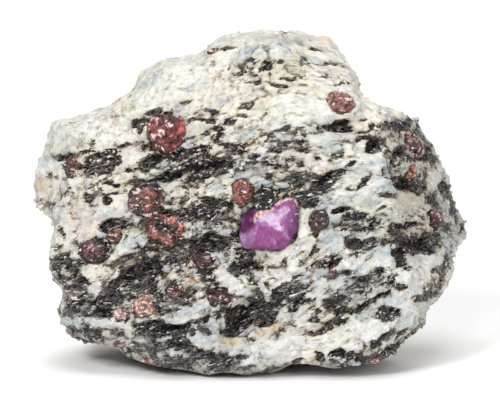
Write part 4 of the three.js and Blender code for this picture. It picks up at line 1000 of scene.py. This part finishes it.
# ---- the crystals ----
# Each garnet's material slot, and its dark and its bright colour.
GARNETS = {
    "garnet_upper_left": ("garnet_red", (0.06, 0.008, 0.007), (0.4, 0.085, 0.07)),
    "garnet_upper_right": ("garnet_red", (0.16, 0.05, 0.04), (0.85, 0.42, 0.34)),
    "garnet_middle_left": ("garnet_brown", (0.045, 0.018, 0.02), (0.26, 0.13, 0.13)),
    "garnet_above_ruby": ("garnet_red", (0.08, 0.02, 0.015), (0.46, 0.15, 0.12)),
    "garnet_lower_left": ("garnet_red", (0.04, 0.01, 0.01), (0.38, 0.12, 0.1)),
    "garnet_far_left_low": ("garnet_dark", (0.02, 0.005, 0.006), (0.2, 0.07, 0.075)),
    "garnet_far_left_high": ("garnet_brown", (0.05, 0.015, 0.015), (0.32, 0.14, 0.14)),
    "garnet_foot_left": ("garnet_pink", (0.14, 0.045, 0.035), (0.6, 0.34, 0.28)),
    "garnet_foot_left_small": ("garnet_pink", (0.3, 0.16, 0.15), (0.85, 0.58, 0.56)),
    "garnet_foot_middle": ("garnet_red", (0.06, 0.018, 0.018), (0.34, 0.13, 0.12)),
    "garnet_below_ruby": ("garnet_dark", (0.01, 0.001, 0.001), (0.11, 0.016, 0.016)),
    "garnet_left_of_ruby": ("garnet_dark", (0.03, 0.008, 0.008), (0.22, 0.07, 0.07)),
    "garnet_right_of_ruby": ("garnet_dark", (0.01, 0.003, 0.004), (0.12, 0.045, 0.05)),
    "garnet_left_grain": ("garnet_pink", (0.07, 0.015, 0.005), (0.26, 0.08, 0.03)),
    "garnet_side_high": ("garnet_brown", (0.05, 0.012, 0.012), (0.3, 0.1, 0.09)),
    # Brighter than its own colour, to make up for the shade it lies in: painted light.
    "garnet_side_middle": ("garnet_red", (0.4, 0.12, 0.08), (0.95, 0.5, 0.35)),
    # Darker than its own colour: painted shade, as it lies in shade.
    "garnet_side_low": ("garnet_red", (0.02, 0.003, 0.002), (0.2, 0.045, 0.03)),
    "garnet_back_high": ("garnet_brown", (0.045, 0.018, 0.02), (0.26, 0.13, 0.13)),
    "garnet_back_middle": ("garnet_red", (0.06, 0.012, 0.01), (0.36, 0.09, 0.075)),
    "garnet_back_low": ("garnet_dark", (0.03, 0.008, 0.008), (0.22, 0.07, 0.07)),
    "garnet_back_right": ("garnet_red", (0.06, 0.012, 0.01), (0.36, 0.09, 0.075)),
    "garnet_left_end": ("garnet_red", (0.06, 0.012, 0.01), (0.36, 0.09, 0.075)),
}
GARNET_VOXEL = 0.2  # mm
SEAT_FILL = 0.34  # mm, what a crystal grows by to close the gap round its solid
GARNET_SPREAD = np.array([1.07, 1, 1.07])  # how much wider its broken face is where the rock cuts it
OUTLINE_WANDER = 0.05  # how far a garnet's outline wanders, for each millimetre of its width
BRICK_RED = np.array([0.28, 0.075, 0.035])


def make_garnet(frame, name, seed):
    """One garnet of broken faces, each in its own shade between the dark and the bright colour."""
    slot_name, dark, bright = GARNETS[name]
    mesh = regrid(face_mesh(frame["nodes"][name], SEAT_FILL), GARNET_VOXEL, 1)
    p, n = places(mesh), places(mesh, "normal")
    size = p.max(axis=0) - p.min(axis=0)
    middle = (p.min(axis=0) + p.max(axis=0)) / 2
    p = middle + (p - middle) * GARNET_SPREAD
    width = min(size[0], size[2])
    coarse = (width / 5) ** 0.6  # a large garnet has larger broken faces
    key, away, border = cells(p / (2.0 * coarse) + seed * 3.7, seed)
    level = chance(key, seed + 9)
    relief = broken(level, key, away, seed + 50, 0.3, 0.8) - 0.12 * ease(0.1, 0.0, border)
    relief += 0.1 * noise(p, 0.9, seed + 5)
    relief *= 0.3 + 0.7 * abs(n[:, 1])
    relief += OUTLINE_WANDER * width * noise(p, 2.4 * coarse, seed + 6)
    # Darker and brighter faces, and a darker rim.
    shade = np.clip(level * 0.8 + 0.35 * noise(p, 1.4, seed + 7), 0, 1)
    tone = blend(np.array(dark), np.array(bright), shade)
    x, z = ((p - middle) / size)[:, [0, 2]].T
    out = np.hypot(x, z) * 2 + 0.25 * noise(p, 1.2, seed + 8)
    tone *= (1 - 0.5 * ease(0.75, 1.05, out))[:, None]
    if name == "garnet_lower_left":  # with a dark heart to the left of its middle
        heart = np.hypot((x + 0.14) * 2, (z - 0.05) * 2.6) + 0.3 * noise(p, 1.0, 2)
        tone *= (1 - 0.96 * ease(0.5, 0.32, heart))[:, None]
    if name == "garnet_middle_left":  # with a brick-red heart
        tone = blend(tone, BRICK_RED * (0.5 + level[:, None]), 0.85 * ease(0.55, 0.35, out))
    store(mesh, tone=np.clip(tone, 0, 1), lay=p / coarse + seed * 5.3)
    piece(name + "_crystal", mesh, p + n * relief[:, None], SHADES[slot_name], [name])


RUBY_VOXEL = 0.17  # mm
OUTLINE_STEPS = 72  # directions in which the ruby's own outline is measured
VIOLET, DEEP = (0.23, 0.055, 0.195), (0.085, 0.006, 0.062)
LILAC, MAUVE = (0.33, 0.16, 0.33), (0.25, 0.115, 0.25)
# The ruby's colour zones as the eye sees them, laid over one another: marks with a colour at the end.
RUBY_ZONES = [
    (3.8, 29.5, 8, 8, 0, VIOLET), (-0.8, 27.6, 1.8, 2.8, 0, MAUVE), (-0.2, 31.4, 1.6, 2.4, -20, DEEP),
    (-1, 30.4, 1.5, 2, 10, DEEP), (4.4, 31.4, 3, 1.7, 10, LILAC),
    (9, 30.4, 1.3, 4.4, 0, (0.18, 0.04, 0.155)), (3.4, 27.6, 2.4, 1.9, 0, (0.24, 0.055, 0.19)),
    (-1.4, 26, 0.9, 0.9, 0, (0.2, 0.08, 0.18)), (3.4, 25, 4.6, 0.4, 0, (0.19, 0.04, 0.155)),
    (8.8, 33, 1, 1.6, 20, (0.22, 0.07, 0.2)),
]
FROST = {
    0.85: [(4, 31.3, 2.4, 1.3, -25)],
    0.8: [(5.4, 29.8, 1.9, 0.8, -45)],
    0.65: [(7.3, 27.8, 1.9, 0.35, -48)],
    0.6: [(6.6, 32.6, 2, 1, 35), (1.2, 30.6, 0.3, 2.2), (2.4, 31, 1.2, 0.7, 20)],
    0.4: [(-1.4, 27.4, 0.7, 1.2), (8.3, 31, 0.35, 2.2, 10), (7, 29.4, 0.3, 1.4, 20)],
    0.35: [(4.8, 26.8, 0.3, 1.4, 12)],
}
CRUST = {
    1: [(2, 32.2, 0.7, 0.8), (3.6, 33, 1, 0.4, 15), (5.8, 34.6, 1.4, 0.5, 25), (7.6, 35.2, 1.5, 0.45, 12)],
    0.8: [(9.3, 34.4, 0.45, 0.8, 10)],
    0.6: [(1.1, 31.6, 0.3, 0.9)],
}


def fit_outline(p):
    """The ruby's points moved right and up, so that its outline is the one that the eye sees."""
    u, v = seen(p)
    dx, dz = u - RUBY_HEART[0], v - RUBY_HEART[1]
    turn, far = np.arctan2(dz, dx), np.hypot(dx, dz)
    step = np.floor((turn + math.pi) / (2 * math.pi) * OUTLINE_STEPS) % OUTLINE_STEPS
    widest = np.array([far[step == k].max() for k in range(OUTLINE_STEPS)])
    middles = (np.arange(OUTLINE_STEPS) + 0.5) / OUTLINE_STEPS * 2 * math.pi - math.pi
    own = far / np.interp(turn, middles, widest, period=2 * math.pi)
    grow = own / np.maximum(reach(u, v, RUBY_HEART, RUBY_OUTLINE), 1e-6)
    k = EYE_DISTANCE / (EYE_DISTANCE + p[:, 1])
    return np.column_stack(((RUBY_HEART[0] + dx * grow) / k, p[:, 1],
                            AIM[2] + (RUBY_HEART[1] + dz * grow - AIM[2]) / k))


def make_ruby(frame):
    """The ruby with its colour zones, frost and crust."""
    mesh = regrid(face_mesh(frame["nodes"]["ruby_crystal"], SEAT_FILL), RUBY_VOXEL, 2)
    p, n = fit_outline(places(mesh)), places(mesh, "normal")
    u, v = seen(p)
    u = u + noise(p, 1.1, 3) * 0.25
    v = v + noise(p, 1.1, 4) * 0.25
    tone = np.tile(np.array(VIOLET), (len(p), 1))
    for *mark, rgb in RUBY_ZONES:
        tone = blend(tone, np.array(rgb), ease(-0.25, 0.3, inside(u, v, *mark)))
    facing = looks_at_camera(n)
    frost, crust = flags(u, v, facing, FROST, 0.45), flags(u, v, facing, CRUST, 0.35)
    key, away, _ = cells(p / (2.6, 2.6, 2.0), 5)
    relief = broken(chance(key, 6), key, away, 15, 0.12, 0.3)
    relief += 0.06 * noise(p, (0.6, 2.4, 2.4), 8) + 0.03 * noise(p, 0.5, 9)
    relief += 0.12 * frost * noise(p, 0.7, 10) + 0.25 * crust * (noise(p, 0.6, 11) + 0.4)
    store(mesh, tone=tone, lay=p, frost=frost, crust=crust)
    return piece("ruby", mesh, p + n * relief[:, None], SHADES["ruby"], ["ruby_crystal"])


# The lump of mica that grew over the ruby's top left corner: x, z, half length, half width, tilt.
LUMP = (2.8, 35.2, 2.1, 2.1, 10)
LUMP_LEAVES = 420
LUMP_HEIGHT, LUMP_ROOT = 1.7, 0.35  # mm toward the viewer, and back into the rock
LUMP_FOOT = (0.4, -2.4)  # how far right and up of its middle the surface is felt for


def make_mica_lump(surface):
    """A knob of stacked leaves on the ruby's corner."""
    random = np.random.default_rng(7)
    count = LUMP_LEAVES
    spot = surface(LUMP[0] + LUMP_FOOT[0], LUMP[1] + LUMP_FOOT[1]) * [0, 1, 0] + [LUMP[0], 0, LUMP[1]]
    turn = random.uniform(0, 2 * math.pi, count)
    far = np.sqrt(random.uniform(0, 1, count))
    x, z = far * np.cos(turn) * LUMP[2], far * np.sin(turn) * LUMP[3]
    dome = LUMP_HEIGHT * np.sqrt(np.clip(1 - far ** 2, 0, 1))
    right, up = turned(x, z, LUMP[4])
    centre = spot + np.column_stack((right, LUMP_ROOT - dome * random.uniform(-0.2, 1.0, count), up))
    faces_to = np.column_stack((x * 0.35, -np.ones(count), z * 0.35)) + random.normal(0, 0.3, (count, 3))
    along = np.array([0.9, 0, 0.35]) + random.normal(0, 0.5, (count, 3))
    shade = leaf_shades(count, random)
    mesh, points = leaf_mesh("mica_lump", centre, faces_to, along, random.uniform(0.2, 0.42, count),
                             random.uniform(0.1, 0.25, count), shade, random)
    piece("mica_lump", mesh, points, MICA_LOOK, smooth=False)


def camera_ray(*objects):
    """A function that finds where the camera's ray through a place on the face first meets the objects."""
    graph = bpy.context.evaluated_depsgraph_get()
    trees = [BVHTree.FromObject(obj, graph) for obj in objects]
    eye = Vector(to_row([[AIM[0], -EYE_DISTANCE, AIM[2]]])[0])

    def meet(x, z):
        way = (Vector(to_row([[x, 0, z]])[0]) - eye).normalized()
        hits = [hit for hit in (tree.ray_cast(eye, way) for tree in trees) if hit[0] is not None]
        return to_face([min(hits, key=lambda hit: hit[3])[0]])[0]

    return meet


def make_small_garnets(surface):
    """Garnet grains half sunk in the face."""
    joined = bmesh.new()
    tones = []
    for index, (x, z, long, wide, tilt, name) in enumerate(SMALL_GARNETS):
        before = len(joined.verts)
        bmesh.ops.create_icosphere(joined, subdivisions=4, radius=1)
        joined.verts.ensure_lookup_table()
        verts = joined.verts[before:]
        ball = np.array([v.co for v in verts])
        key, _, border = cells(ball * 1.4 + index * 7, 5)
        lumpy = ball * (1 + 0.16 * (chance(key, 3) - 0.5) - 0.08 * ease(0.15, 0, border))[:, None]
        right, up = turned(lumpy[:, 0] * long, lumpy[:, 2] * wide, tilt)
        back = (lumpy[:, 1] * 0.8 + 0.15) * wide
        for vert, place in zip(verts, surface(x, z) + np.column_stack((right, back, up))):
            vert.co = place
        tones += [colour(name) * (0.55 + 0.8 * c) for c in chance(key, 4)]
    mesh = bpy.data.meshes.new("small_garnets")
    joined.to_mesh(mesh)
    joined.free()
    p = places(mesh)
    store(mesh, tone=tones, lay=p)
    piece("small_garnets", mesh, p, SHADES["garnet_pink"])


# ---- the studio ----
# Each lamp: its place from the rock's middle and its size in metres, and its power in watts.
LAMPS = (("key", (-0.4, -0.62, 0.55), 0.28, 5.6), ("fill", (0.65, -0.5, 0.25), 0.5, 1.8),
         ("glint", (-0.12, -0.9, 0.42), 0.09, 1.3), ("top", (0.05, -0.05, 0.9), 0.7, 5.0),
         ("back", (0.3, 0.8, 0.5), 0.6, 3.6))
ROOM_GLOW = 0.26  # the white world's strength
FLOOR_SIZE = 6.0  # metres from its middle to a side
FLOOR_SHADE = 0.93
PICTURE_WIDTH = 100.0  # mm across the picture at the rock
SENSOR = 36.0  # mm


def place_in(scene, name, data, place=None, target=None):
    """A new object in the scene. One with a place is turned to look at the target."""
    obj = bpy.data.objects.new(name, data)
    scene.collection.objects.link(obj)
    if place is not None:
        obj.location = place
        obj.rotation_euler = (target - obj.location).to_track_quat("-Z", "Y").to_euler()
    return obj


def make_studio(low, high):
    """A white room with a floor, five lamps and the camera."""
    scene = bpy.context.scene
    scene.view_settings.view_transform = "Standard"
    world = bpy.data.worlds.new("studio")
    scene.world = world
    world.use_nodes = True
    background = world.node_tree.nodes["Background"]
    background.inputs[0].default_value = (1, 1, 1, 1)
    background.inputs[1].default_value = ROOM_GLOW

    middle = (low + high) / 2
    for name, place, size, power in LAMPS:
        light = bpy.data.lights.new(name, "AREA")
        light.size = size
        light.energy = power
        place_in(scene, name, light, middle + Vector(place), middle)

    bm = bmesh.new()
    bmesh.ops.create_grid(bm, x_segments=1, y_segments=1, size=FLOOR_SIZE)
    floor_mesh = bpy.data.meshes.new("floor")
    bm.to_mesh(floor_mesh)
    bm.free()
    floor_mesh.materials.append(Look("floor").finish(base=(*grey(FLOOR_SHADE), 1), rough=0.9))
    floor = place_in(scene, "floor", floor_mesh)

    camera = bpy.data.cameras.new("camera")
    camera.sensor_width = SENSOR
    camera.lens = SENSOR * EYE_DISTANCE / PICTURE_WIDTH
    camera.clip_start, camera.clip_end = 0.1, 20
    eye = to_row([[AIM[0], -EYE_DISTANCE, AIM[2]]])[0]
    scene.camera = place_in(scene, "camera", camera, eye, Vector(to_row([AIM])[0]))


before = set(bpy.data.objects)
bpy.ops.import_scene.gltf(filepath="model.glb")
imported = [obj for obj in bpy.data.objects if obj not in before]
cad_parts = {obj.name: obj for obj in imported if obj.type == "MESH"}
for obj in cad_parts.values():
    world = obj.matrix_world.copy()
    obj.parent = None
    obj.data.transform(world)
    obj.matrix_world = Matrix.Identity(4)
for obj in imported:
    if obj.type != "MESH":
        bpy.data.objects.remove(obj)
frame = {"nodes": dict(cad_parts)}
cad_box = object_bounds()
make_studio(*cad_box)
# Each garnet look with its roughness and pale, the share of painted highlight specks.
SHADES = {
    "garnet_red": garnet_look("garnet_red", rough=0.1, pale=0.11),
    "garnet_brown": garnet_look("garnet_brown", rough=0.12, pale=0.12),
    "garnet_dark": garnet_look("garnet_dark", rough=0.1, pale=0.1),
    "garnet_pink": garnet_look("garnet_pink", rough=0.2, pale=0.26),
    "ruby": ruby_look(),
}
MICA_LOOK = mica_look()
rock, mica = make_rock(frame)
make_leaves("leaves_front", rock, mica, count=12000, front=True, size=0.26, seed=1)
make_leaves("leaves_back", rock, mica, count=11000, front=False, size=0.36, seed=2)
for index, name in enumerate(sorted(GARNETS)):
    make_garnet(frame, name, 100 + index)
ruby = make_ruby(frame)
surface = camera_ray(rock, ruby)
make_mica_lump(surface)
make_small_garnets(surface)
